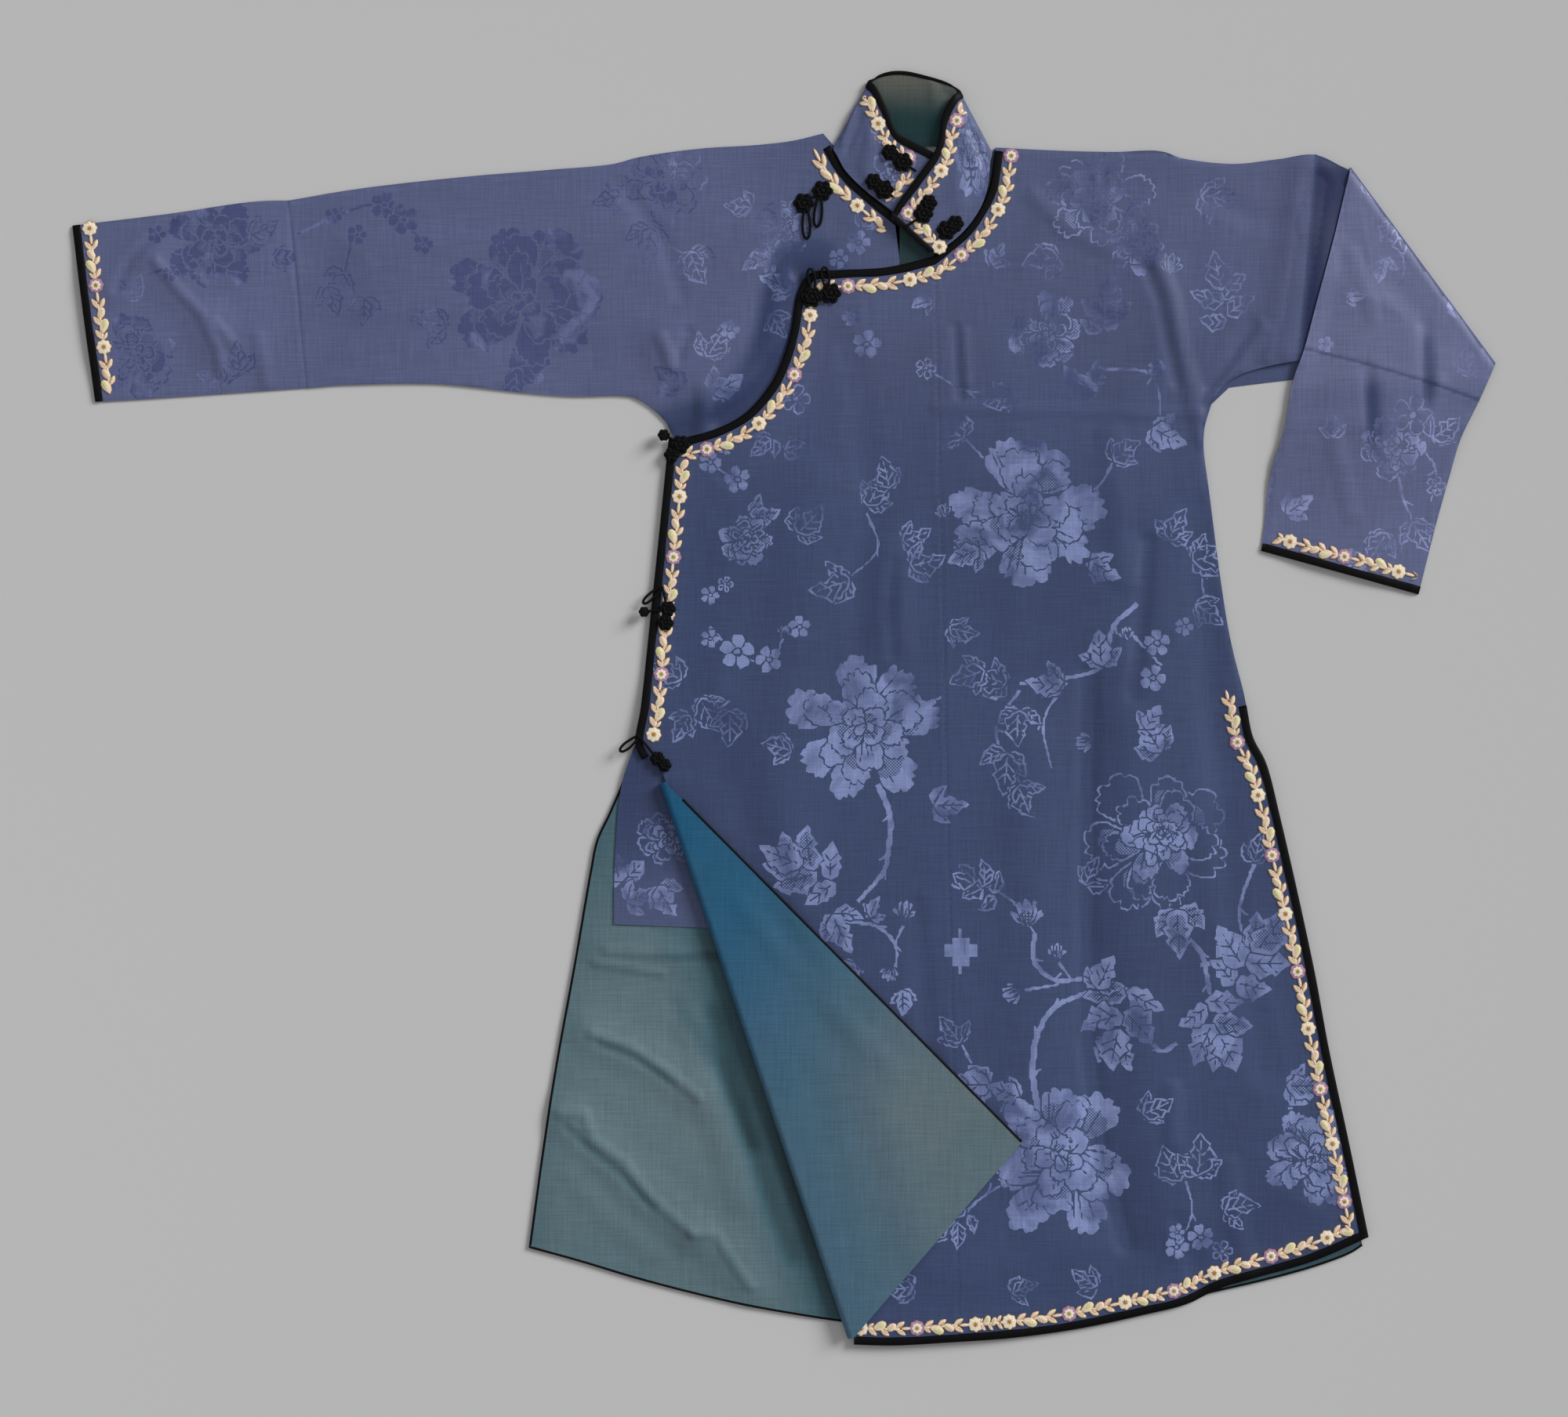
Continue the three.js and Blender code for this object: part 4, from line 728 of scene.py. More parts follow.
# A compound leaf: blades in pairs along a stalk, and one at its end
def cluster(x, y, size, turn, draw, style="satin"):
    out = []
    foot = (x - size * 0.7 * math.cos(turn), y - size * 0.7 * math.sin(turn))
    for far, spread, long in ((0.1, 1.25, 0.8), (0.2, -1.2, 0.85), (0.55, 0.95, 1.0), (0.62, -0.9, 0.95),
                              (0.95, 0.5, 0.8), (1.0, -0.45, 0.8), (0.9, 0.0, 1.05)):
        a = turn + spread + draw.uniform(-0.15, 0.15)
        out += blade(foot[0] + size * far * math.cos(turn), foot[1] + size * far * math.sin(turn),
                     size * long * draw.uniform(0.85, 1.1), size * long * draw.uniform(0.5, 0.65), a, draw,
                     style)
    return out


def bud(x, y, size, turn, draw, style="satin"):
    out = []
    kind = "satin" if style == "satin" else "line"
    for spread, long, wide in ((0.85, 0.8, 0.3), (-0.85, 0.8, 0.3), (0.35, 0.95, 0.36), (-0.35, 0.95, 0.36),
                               (0, 1.0, 0.42)):
        a = turn + spread
        out += petal(x + math.cos(a) * size * long * 0.45, y + math.sin(a) * size * long * 0.45, size * long,
                     size * wide, a, draw, kind, 1)
    return out


def plum(x, y, size, turn, draw, style="satin"):
    out = []
    for k in range(5):
        a = turn + 2 * math.pi * k / 5
        middle = x + math.cos(a) * size * 0.55, y + math.sin(a) * size * 0.55
        shape = shapeAt(*middle, size * 0.85, size * 0.85, a, [(0, 0.12, 0.2)], draw)
        out += [(grown(shape, 1.1), 0), (shape, 1)]
        if style == "line":
            out.append((grown(shape, -1.7), 0))
    heart = shapeAt(x, y, size * 0.62, size * 0.62, 0, [], draw)
    return out + [(heart, 0), (shapeAt(x, y, size * 0.34, size * 0.34, 0, [], draw), 1)]


def stem(points, wide, draw):
    out = [(strokeOf(points, wide, wide * 0.6), 1)]
    for k in range(1, len(points) - 1):
        (x, y), (nx, ny) = points[k], points[k + 1]
        a = math.atan2(ny - y, nx - x) + draw.choice([0.8, -0.8])
        out.append((strokeOf([(x, y), (x + 9 * math.cos(a), y + 9 * math.sin(a))], wide * 0.7, 1.2), 1))
    return out


def steppedCross(x, y, size, turn, draw, style="satin"):
    k = size / 7
    steps = [(1, 7), (1, 4), (3, 4), (3, 2), (5, 2), (5, -2), (3, -2), (3, -5), (1, -5), (1, -7)]
    ring = steps + [(-a + 1, b) for a, b in steps[::-1]]
    return [(np.array([(x + a * k, y + b * k * 0.9) for a, b in ring], float), 1)]


kinds = {"peony": peony, "leaf": leaf, "cluster": cluster, "bud": bud, "plum": plum, "cross": steppedCross}


def drawFigures(rows, lines, seed):
    draw = random.Random(seed)
    out = []
    for points, wide in lines:
        out += stem(points, wide, draw)
    for kind, x, y, size, turn, style in rows:
        out += kinds[kind](x, y, size, math.radians(turn), draw, style)
    return [(ring, kind) for ring, kind in ((woven(ring), kind) for ring, kind in out) if len(ring) > 3]


# Where the figures lie, read in the photo's pixels: kind, across, down, size in mm, turn, style
figures = {
    "outer": [
        ("peony", 1400, 255, 50, 20, "line"), ("peony", 1450, 315, 28, 60, "dotted"),
        ("leaf", 1530, 250, 30, -20, "line"), ("leaf", 1350, 330, 26, 200, "line"),
        ("peony", 1335, 425, 38, 0, "dotted"), ("cluster", 1410, 400, 28, 80, "satin"),
        ("leaf", 1400, 500, 30, 150, "satin"), ("leaf", 1470, 545, 26, -20, "satin"),
        ("cluster", 1560, 380, 34, 100, "line"), ("plum", 1105, 440, 14, 10, "satin"),
        ("plum", 1085, 405, 9, 40, "satin"), ("leaf", 1190, 385, 16, 200, "satin"),
        ("plum", 1475, 470, 9, 0, "satin"), ("bud", 1490, 350, 20, 80, "line"),
        ("leaf", 1265, 340, 18, 60, "satin"), ("plum", 1015, 510, 15, 0, "line"),
        ("leaf", 985, 560, 20, 220, "line"), ("plum", 905, 590, 11, 0, "satin"),
        ("plum", 940, 612, 13, 30, "satin"), ("plum", 925, 570, 8, 0, "satin"),
        ("leaf", 1000, 575, 16, 20, "line"), ("leaf", 955, 655, 22, 10, "satin"),
        ("leaf", 1015, 680, 26, 40, "line"), ("peony", 950, 690, 26, 0, "dotted"),
        ("plum", 905, 760, 9, 0, "satin"), ("plum", 1020, 800, 11, 20, "satin"),
        ("plum", 925, 745, 8, 0, "line"), ("plum", 940, 832, 17, 12, "satin"),
        ("plum", 980, 842, 13, 40, "satin"), ("bud", 997, 812, 11, 70, "satin"),
        ("plum", 905, 815, 9, 0, "satin"), ("leaf", 870, 868, 24, 150, "line"),
        ("leaf", 895, 890, 28, -60, "line"), ("leaf", 930, 905, 26, -100, "line"),
        ("leaf", 880, 912, 22, -130, "line"), ("leaf", 1105, 645, 26, 60, "line"),
        ("leaf", 1135, 625, 24, 110, "line"), ("leaf", 1150, 690, 22, 20, "line"),
        ("leaf", 1085, 738, 30, 190, "line"), ("leaf", 1160, 720, 26, 10, "line"),
        ("peony", 1310, 655, 76, 14, "satin"), ("leaf", 1248, 700, 24, 210, "satin"),
        ("leaf", 1390, 715, 24, -30, "satin"), ("leaf", 1490, 690, 26, 70, "line"),
        ("leaf", 1520, 715, 30, 20, "line"), ("leaf", 1525, 770, 24, -40, "line"),
        ("plum", 1475, 820, 13, 20, "satin"), ("plum", 1470, 865, 13, 0, "satin"),
        ("plum", 1510, 800, 9, 0, "satin"), ("bud", 1438, 815, 12, 100, "satin"),
        ("leaf", 1405, 850, 26, 100, "satin"), ("leaf", 1355, 870, 26, 170, "satin"),
        ("leaf", 1285, 870, 28, 160, "line"), ("leaf", 1255, 855, 26, 200, "line"),
        ("leaf", 1300, 905, 26, -90, "line"), ("leaf", 1285, 960, 30, -100, "line"),
        ("leaf", 1300, 1000, 26, -60, "line"), ("bud", 1392, 945, 16, 190, "satin"),
        ("leaf", 1480, 960, 28, 120, "satin"), ("leaf", 1460, 930, 20, 60, "satin"),
        ("peony", 1100, 928, 76, 0, "satin"), ("leaf", 1190, 1027, 24, 0, "satin"),
        ("peony", 1475, 1075, 74, 30, "line"), ("peony", 1480, 1060, 30, 10, "satin"),
        ("leaf", 1500, 1160, 34, -80, "dotted"), ("cluster", 1035, 1108, 42, 150, "satin"),
        ("leaf", 1062, 1165, 30, -60, "satin"), ("bud", 1152, 1172, 18, 80, "satin"),
        ("leaf", 1110, 1170, 16, 60, "satin"), ("bud", 1135, 1232, 15, -100, "satin"),
        ("leaf", 1150, 1262, 18, -90, "satin"), ("bud", 1310, 1180, 26, 92, "satin"),
        ("bud", 1347, 1222, 15, 90, "satin"), ("bud", 1300, 1262, 18, 200, "satin"),
        ("cross", 1222, 1212, 23, 0, "satin"), ("cluster", 1590, 1225, 44, 60, "satin"),
        ("cluster", 1430, 1300, 44, -100, "satin"), ("cluster", 1548, 1310, 42, -70, "satin"),
        ("leaf", 1400, 1262, 26, 60, "satin"), ("leaf", 1262, 1385, 30, 180, "satin"),
        ("leaf", 1300, 1400, 24, 160, "satin"), ("leaf", 1640, 1385, 28, 10, "satin"),
        ("peony", 1352, 1478, 74, 40, "satin"), ("peony", 1672, 1478, 52, 10, "satin"),
        ("leaf", 1505, 1505, 28, 120, "line"), ("leaf", 1525, 1500, 30, 80, "line"),
        ("leaf", 1560, 1545, 26, 10, "line"), ("plum", 1500, 1590, 12, 0, "satin"),
        ("plum", 1530, 1578, 13, 30, "satin"), ("plum", 1558, 1596, 11, 0, "line"),
        ("plum", 1500, 1570, 8, 0, "satin"), ("leaf", 1075, 1225, 24, -70, "satin"),
        ("cluster", 1250, 1130, 26, 150, "line"), ("leaf", 1385, 1130, 22, 60, "line"),
        ("leaf", 1225, 1330, 24, 120, "line"), ("leaf", 1180, 1500, 22, 200, "line"),
        ("cluster", 1215, 1560, 26, 210, "line"), ("leaf", 1455, 1420, 24, 20, "line"),
        ("leaf", 1600, 1100, 22, 70, "line"), ("leaf", 1230, 560, 26, 150, "line"),
        ("leaf", 1420, 590, 24, 40, "line"), ("plum", 1180, 470, 11, 0, "line"),
        ("leaf", 1290, 500, 22, 210, "line"), ("leaf", 1210, 800, 22, -20, "line"),
        ("leaf", 1010, 960, 22, 160, "line"), ("leaf", 1600, 610, 22, 60, "line"),
        ("bud", 1205, 660, 13, 110, "line"), ("leaf", 1290, 1650, 20, 20, "line"),
        ("leaf", 1400, 1640, 22, 150, "line"), ("leaf", 1165, 1640, 22, 180, "line"),
        ("leaf", 1620, 1690, 16, 0, "line")],
    "inner": [
        ("peony", 665, 385, 80, 10, "satin"), ("peony", 850, 230, 44, 0, "line"),
        ("leaf", 830, 290, 28, -100, "line"), ("leaf", 880, 320, 26, -60, "line"),
        ("leaf", 795, 250, 22, 200, "line"), ("plum", 490, 262, 13, 0, "satin"),
        ("plum", 515, 280, 15, 40, "satin"), ("plum", 455, 300, 10, 0, "satin"),
        ("plum", 425, 278, 9, 0, "satin"), ("plum", 540, 312, 10, 0, "satin"),
        ("leaf", 440, 350, 22, -120, "line"), ("leaf", 415, 365, 22, -60, "line"),
        ("leaf", 465, 380, 20, -90, "line"), ("peony", 1000, 290, 32, 0, "dotted"),
        ("leaf", 985, 330, 22, 200, "satin"), ("leaf", 1010, 370, 24, 150, "satin"),
        ("leaf", 985, 400, 20, -60, "line"), ("leaf", 900, 455, 26, 60, "line"),
        ("leaf", 865, 500, 24, 140, "satin"), ("leaf", 905, 500, 26, 30, "satin"),
        ("plum", 930, 420, 10, 0, "satin"), ("leaf", 960, 265, 20, 170, "line"),
        ("plum", 1095, 310, 12, 0, "satin"), ("plum", 1070, 330, 10, 0, "satin"),
        ("leaf", 1100, 290, 16, 60, "line"), ("leaf", 660, 470, 24, -80, "satin"),
        ("leaf", 570, 420, 26, 170, "line"), ("leaf", 795, 1125, 30, 100, "satin"),
        ("peony", 850, 1070, 30, 0, "line"), ("leaf", 800, 1150, 22, 20, "satin"),
        ("leaf", 840, 1130, 24, -60, "satin")],
    "extension": [
        ("peony", 275, 310, 48, 0, "satin"), ("peony", 172, 455, 42, 20, "dotted"),
        ("plum", 255, 345, 12, 0, "satin"), ("plum", 200, 300, 9, 0, "satin"),
        ("leaf", 320, 300, 22, 20, "line"), ("leaf", 310, 475, 22, 100, "line"),
        ("leaf", 285, 490, 20, 150, "line"), ("plum", 220, 350, 8, 0, "satin"),
        ("leaf", 160, 380, 20, 60, "line"), ("leaf", 350, 330, 18, 0, "satin")],
    "forearm": [
        ("peony", 1775, 570, 34, 0, "dotted"), ("plum", 1800, 530, 20, 0, "line"),
        ("leaf", 1825, 560, 24, 40, "line"), ("leaf", 1800, 665, 26, -60, "line"),
        ("leaf", 1770, 680, 26, -120, "line"), ("leaf", 1745, 715, 22, 190, "satin"),
        ("leaf", 1775, 280, 26, -70, "line"), ("leaf", 1765, 330, 18, -100, "satin"),
        ("leaf", 1860, 405, 20, 60, "satin"), ("leaf", 1875, 480, 22, 90, "line"),
        ("leaf", 1715, 380, 14, 0, "satin"), ("plum", 1690, 440, 8, 0, "satin"),
        ("leaf", 1640, 655, 22, 30, "satin"), ("leaf", 1700, 560, 18, 100, "line"),
        ("plum", 1830, 620, 10, 0, "line"), ("leaf", 1745, 250, 16, 60, "line")],
}
# Their stems: points in pixels, and how wide
stems = {
    "outer": [
        ([(1120, 1000), (1135, 1040), (1132, 1090), (1128, 1110), (1095, 1150)], 6),
        ([(1325, 1420), (1316, 1370), (1322, 1320), (1345, 1285), (1400, 1262)], 6.5),
        ([(1320, 1190), (1318, 1225), (1345, 1250), (1395, 1248), (1440, 1262)], 4.5),
        ([(1350, 1228), (1365, 1248)], 3), ([(1305, 1262), (1350, 1255)], 3),
        ([(1500, 1150), (1508, 1190), (1530, 1215), (1540, 1255), (1545, 1290)], 6),
        ([(1530, 1230), (1570, 1225)], 4), ([(1500, 1330), (1480, 1340), (1440, 1290)], 4),
        ([(1075, 1175), (1120, 1182), (1142, 1205), (1140, 1250)], 3.5), ([(1152, 1180), (1140, 1205)], 3),
        ([(1450, 770), (1420, 800), (1405, 850), (1360, 865), (1300, 872)], 4.5),
        ([(1440, 805), (1480, 850)], 3), ([(1300, 880), (1270, 930), (1300, 1000)], 3),
        ([(1180, 900), (1200, 890)], 3), ([(905, 800), (940, 835), (985, 845), (998, 815)], 2.5),
        ([(860, 560), (900, 590), (940, 612)], 2.5), ([(1500, 680), (1530, 730), (1535, 790)], 2.2),
        ([(1395, 470), (1470, 480), (1480, 540)], 3), ([(1510, 1500), (1520, 1545), (1500, 1590)], 2.2),
        ([(1105, 655), (1120, 700), (1080, 740)], 2.2), ([(1240, 1120), (1290, 1150), (1320, 1190)], 2.2),
        ([(1395, 1120), (1440, 1130), (1480, 1150)], 2.2), ([(1215, 1560), (1260, 1520), (1300, 1500)], 3),
        ([(1225, 1330), (1250, 1370), (1290, 1400)], 2.2), ([(1230, 560), (1260, 590), (1290, 610)], 2.2),
        ([(1420, 590), (1400, 620), (1370, 640)], 2.2), ([(1180, 470), (1235, 500), (1290, 500)], 2.2),
        ([(1360, 870), (1330, 920), (1340, 980)], 2.5), ([(1600, 1100), (1580, 1160), (1590, 1225)], 3.5),
        ([(1640, 1385), (1650, 1430), (1665, 1450)], 3.5)],
    "inner": [
        ([(380, 300), (430, 275), (490, 262), (540, 310)], 3), ([(450, 300), (440, 350)], 2.2),
        ([(660, 460), (650, 480)], 4), ([(860, 250), (840, 300), (880, 330)], 2.5)],
    "extension": [([(190, 350), (250, 340), (290, 350), (330, 310)], 3), ([(290, 490), (320, 470)], 2.2)],
    "forearm": [
        ([(1780, 600), (1790, 640), (1800, 665), (1785, 705)], 2.6),
        ([(1800, 560), (1830, 600), (1825, 640)], 2.2), ([(1770, 290), (1790, 340), (1780, 370)], 2.2)],
}
collarFigureRows = [
    ("peony", 40, 30, 24, 0, "line"), ("leaf", 75, 40, 18, 100, "satin"), ("peony", 300, 24, 28, 40, "satin"),
    ("leaf", 262, 36, 20, 160, "line"), ("plum", 285, 50, 9, 0, "satin"), ("peony", 160, 30, 26, 0, "satin")]


def drawPart(name, seed):
    rows = [(kind, *inMm(px, py), *rest) for kind, px, py, *rest in figures[name]]
    return drawFigures(rows, [([inMm(*p) for p in points], wide) for points, wide in stems[name]], seed)


outerFigures = drawPart("outer", 5)
innerFigures = drawPart("inner", 8)
extensionFigures = drawPart("extension", 13)
forearmFigures = drawPart("forearm", 21)
collarFigures = drawFigures(collarFigureRows, [], 34)


# Painted sheen, how far the satin turns to the light: bright on the skirt, fainter on the chest, dark on the
# right sleeve
def sheenOuter(x, y):
    return 0.66 - 0.3 * smooth(60, 330, y) + 0.08 * smooth(-100, -400, y)


def sheenInner(x, y):
    return np.where(y > 200, -0.15 + 0.62 * smooth(-170, -40, x) + 0.2 * smooth(-480, -640, x), 0.55)


def sheenForearm(x, y):
    return 0.62 + 0.2 * smooth(250, 150, y)


print("damask drawn:", len(outerFigures), "outlines on the front")


# Fronts
front = {"spacing": 3.7, "seamDepth": 0.3, "seamWidth": 1.2, "rollWidth": 7.0, "slack": 0.4, "creaseGain": 1.9}
leftFolds = [edges["shoulderLeft"], edges["sideLeft"], edges["underLeft"]]
rightFolds = [edges["shoulderRight"], edges["underRight"]]
# Creases: how high, how wide, and their path, in mm
creases = {
    "front": [
        (-0.9, 5, [(158, 348), (160, 318), (161, 288)]), (0.7, 6, [(163, 345), (166, 300)]),
        (-0.5, 6, [(99, 134), (97, 92), (100, 50)]), (0.4, 9, [(110, 120), (106, 60)]),
        (-1.1, 9, [(279, 32), (277, -177), (278, -300), (290, -410), (313, -490)]),
        (0.9, 8, [(356, -350), (356, -397)]), (-0.9, 7, [(333, 153), (330, 109), (320, 14)]),
        (1.2, 8, [(343, 405), (353, 379), (361, 340), (371, 304), (384, 248)]),
        (-0.9, 6, [(336, 398), (346, 372), (352, 338), (360, 300)]),
        (1.0, 7, [(438, 348), (417, 315), (394, 283)]), (-0.8, 6, [(430, 352), (409, 320), (392, 296)]),
        (0.5, 6, [(140, 276), (380, 270)]), (-0.6, 12, [(60, 330), (80, 200), (70, 60)]),
        (0.4, 16, [(200, 330), (222, 190), (205, 20), (226, -160)]),
        (-0.8, 13, [(380, 180), (392, 20), (410, -180), (440, -330)]), (0.8, 11, [(300, 250), (312, 120)]),
        (-1.6, 11, [(488, 480), (480, 430), (468, 360), (460, 325)]),
        (-0.6, 9, [(120, -180), (135, -330), (150, -470)]), (0.8, 10, [(405, -420), (425, -520)]),
        (-0.7, 9, [(360, -470), (388, -540)]), (0.7, 8, [(230, 470), (260, 440), (300, 420)]),
        (-0.6, 10, [(390, 470), (430, 450), (470, 445)])],
    "sleeve": [
        (-0.8, 5, [(-612, 386), (-600, 412), (-580, 432), (-562, 446)]),
        (0.9, 5, [(-576, 410), (-555, 384), (-534, 362), (-520, 332), (-516, 308)]),
        (0.7, 5, [(-523, 356), (-506, 335)]), (0.6, 6, [(-482, 340), (-474, 296)]),
        (1.0, 6, [(-113, 340), (-102, 316)]), (-0.8, 5, [(-88, 344), (-99, 318)]),
        (0.8, 7, [(-74, 292), (-74, 250)]),
        (-1.2, 9, [(22, 392), (12, 350), (-4, 312), (-30, 280), (-58, 264)]),
        (1.4, 10, [(0, 392), (-14, 340), (-34, 304), (-70, 278)]),
        (0.5, 12, [(-400, 430), (-260, 425), (-150, 440)]),
        (-0.5, 12, [(-420, 350), (-300, 345), (-180, 330)]), (-0.6, 9, [(0, 440), (-20, 380), (-30, 320)]),
        (0.6, 9, [(22, 380), (-8, 330)]), (-0.6, 7, [(-150, 480), (-110, 430), (-95, 380)])],
    "forearm": [
        (-0.7, 6, [(534, 312), (538, 262)]), (-0.7, 6, [(587, 352), (590, 276)]),
        (0.6, 7, [(520, 420), (540, 360)]), (-0.5, 9, [(560, 390), (600, 340)]),
        (0.6, 8, [(500, 260), (520, 180)]), (0.6, 7, [(600, 300), (580, 240)])],
    "backLining": [
        (1.0, 4, [(-162, -223), (-110, -224), (-71, -227)]), (0.9, 4, [(-174, -233), (-112, -243)]),
        (1.3, 5, [(-176, -298), (-141, -310), (-107, -333), (-79, -356)]),
        (-0.8, 4, [(-170, -308), (-136, -321), (-104, -344)]),
        (1.3, 5, [(-206, -371), (-183, -371), (-176, -395), (-148, -415), (-125, -445), (-107, -462),
                  (-84, -481)]),
        (-0.8, 4, [(-200, -384), (-180, -404), (-150, -428), (-122, -458)]),
        (1.2, 5, [(-84, -481), (-63, -482), (-50, -503), (-31, -530)]),
        (0.7, 8, [(-150, -160), (-120, -190), (-90, -200)]),
        (-1.6, 12, [(-62, -280), (-40, -360), (-14, -450), (6, -500)]),
        (1.4, 12, [(-88, -290), (-66, -370), (-40, -450)]),
        (0.6, 10, [(-195, -430), (-160, -470), (-120, -500)]),
        (-0.6, 8, [(-100, -270), (-60, -330), (-30, -400)])],
    "collar": [
        (1.6, 6, [(62, 8), (74, 44)]), (-1.2, 5, [(86, 6), (92, 44)]), (1.5, 6, [(100, 12), (112, 44)]),
        (1.3, 6, [(306, 6), (298, 44)]), (-1.1, 5, [(290, 6), (284, 44)]), (1.0, 7, [(335, 10), (322, 40)])],
    "collarLining": [
        (1.6, 5, [(205, 12), (212, 58)]), (-1.2, 5, [(222, 8), (224, 50)]),
        (1.2, 6, [(245, 30), (238, 60)]), (1.4, 5, [(262, 10), (268, 52)])],
    "flap": [
        (1.0, 10, [(-40, -180), (30, -260), (100, -330)]), (-0.8, 12, [(0, -200), (60, -330), (90, -430)]),
        (0.7, 9, [(60, -500), (110, -470), (160, -420)]), (-0.6, 8, [(20, -330), (50, -430), (60, -520)])]}


def faceOuter(x, y):
    z = outerTop(x, y) + front["creaseGain"] * foldHeight(creases["front"], x, y)
    z = np.maximum(z, outerUnder(x, y) - front["slack"])
    d = np.abs(x - seamX(y))
    z = z - front["seamDepth"] * np.exp(-(d / front["seamWidth"]) ** 2)
    z = z + 0.15 * np.exp(-((d - 3.4) / 2.2) ** 2)
    near = smooth(430, 455, x) * smooth(285, 300, y)
    return z - roll(leftFolds, x, y, front["rollWidth"], np.maximum(z - 2.6, 0) * (1 - 0.6 * near))


def sleeveSeam(x, y):
    d = pathDistance([(-455.5, 467), (-438.5, 294)], x, y)
    return 0.15 * np.exp(-((d - 3.5) / 2.4) ** 2) - 0.2 * np.exp(-(d / 1.4) ** 2)


def faceInner(x, y):
    z = innerTop(x, y) + front["creaseGain"] * foldHeight(creases["sleeve"], x, y)
    z = z - roll(rightFolds, x, y, front["rollWidth"], np.maximum(z - 1.9, 0))
    return z + sleeveSeam(x, y)


def onFace(face):
    return lambda x, y: np.column_stack([x, y, face(x, y)])


# How far the rim goes down: to what lies under it at a fold, and by the cloth's thickness at a cut edge
def dropTo(face, folds, cut=cloth):
    return lambda x, y: np.where(nearestOf(folds, x, y) < 2.5, face(x, y) - 0.1, cut)


# Paler towards the sleeves, partly faded and partly painted sheen, with painted shade in the sleeve's fold next
# to the forearm
def fadeAndPaintedLightOuter(x, y):
    shadedPocket = smooth(-2, 5, x - np.interp(y, [316, 509], [471.6, 487.4])) * smooth(290, 300, y)
    return 0.44 * smooth(120, 480, y) + 0.14 * smooth(330, 480, x) * smooth(200, 330, y) - 1.75 * shadedPocket


# Paler towards the sleeve, partly faded and partly painted sheen, with painted shade along the overlap's edge,
# and darker towards the foot
def fadeAndPaintedLightInner(x, y):
    placketShade = smooth(46, 4, pathDistance(edges["overlap"][3:], x, y)) * smooth(236, 262, y)
    low = 0.3 - 0.7 * smooth(-190, -60, y)
    return np.where(y > 200, 0.34 + 0.22 * smooth(60, -60, x) - 1.15 * placketShade, low)


seamY = np.arange(-600, 420, 4.0)
outerPanel = cutPanel(outerOutline, front["spacing"], outerFigures, [np.column_stack([seamX(seamY), seamY])])
outerDrop = dropTo(faceOuter, leftFolds)
outerValues = {"fadeAndPaintedLight": fadeAndPaintedLightOuter, "paintedSheen": sheenOuter}
leftFront = layCloth("left_front", split(outerPanel, lambda x, y: x > seamX(y)), onFace(faceOuter), silkSet,
                     "silk_damask", outerDrop, outerValues)
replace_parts(leftFront, "outer_front_left")
overlapFront = layCloth("overlap_front", split(outerPanel, lambda x, y: x <= seamX(y)), onFace(faceOuter),
                        silkSet, "silk_damask", outerDrop, outerValues)
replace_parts(overlapFront, "outer_front_overlap")
innerPanel = cutPanel(innerOutline, front["spacing"], innerFigures)
innerFront = layCloth("inner_front_cloth", innerPanel, onFace(faceInner), silkSet, "silk_damask",
                      dropTo(faceInner, rightFolds), {"fadeAndPaintedLight": fadeAndPaintedLightInner, "paintedSheen": sheenInner})
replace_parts(innerFront, "inner_front")
print("fronts laid")


# Sleeve ends: flattened tubes, a face and an underside, open at the cuff
def faceExtension(x, y):
    z = rightCuffTop(x, y) + front["creaseGain"] * foldHeight(creases["sleeve"], x, y)
    z = z + sleeveSeam(x, y)
    return z - roll(cuffSides, x, y, front["rollWidth"], z - 1.4)


def faceForearm(x, y):
    z = forearmTop(x, y) + front["creaseGain"] * foldHeight(creases["forearm"], x, y)
    seam = pathDistance(edges["forearmSeam"], x, y)
    z = z + 0.12 * np.exp(-((seam - 3.5) / 2.4) ** 2) - 0.22 * np.exp(-(seam / 1.4) ** 2)
    z = z - roll(forearmSides, x, y, 8, (z - forearmUnder(x, y)) * 0.55)
    return z - roll([edges["sleeveCrease"]], x, y, 9, (z - 1.0) * 0.8)


def underSheet(name, outline, height):
    layCloth(name, cutPanel(outline, 14.0), onFace(height), silkSet, "silk_damask", None, {"fadeAndPaintedLight": 0.9}, True)


extension = layCloth("right_sleeve_end", cutPanel(extensionOutline, front["spacing"], extensionFigures),
                     onFace(faceExtension), silkSet, "silk_damask", dropTo(faceExtension, cuffSides),
                     {"fadeAndPaintedLight": 0.62, "paintedSheen": sheenInner})
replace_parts(extension, "right_sleeve_extension")
underSheet("right_sleeve_end_underside", extensionOutline, lambda x, y: 0.15 + 0 * x)

cuffEdge = [edges["forearmInner"][-1], edges["forearmOuter"][0]]
forearmOutline = outlineOf(edges["forearmInner"], cuffEdge, edges["forearmOuter"], edges["sleeveCrease"][::-1],
                           [(520, 497), (516, 479.5)])
forearmPanel = cutPanel(forearmOutline, front["spacing"], forearmFigures,
                        [curve([*edges["forearmSeam"][1:-1], (633, 284.5)])])


def aboveSeam(x, y):
    path = np.array(edges["forearmSeam"], float)
    return y > np.interp(x, path[:, 0], path[:, 1])


def dropForearm(x, y):
    atCrease = pathDistance(edges["sleeveCrease"], x, y) < 2.5
    atCuff = pathDistance(cuffEdge, x, y) < 1.5
    z = faceForearm(x, y)
    return np.where(atCrease, z - 0.1, np.where(atCuff, cloth, z - forearmUnder(x, y)))


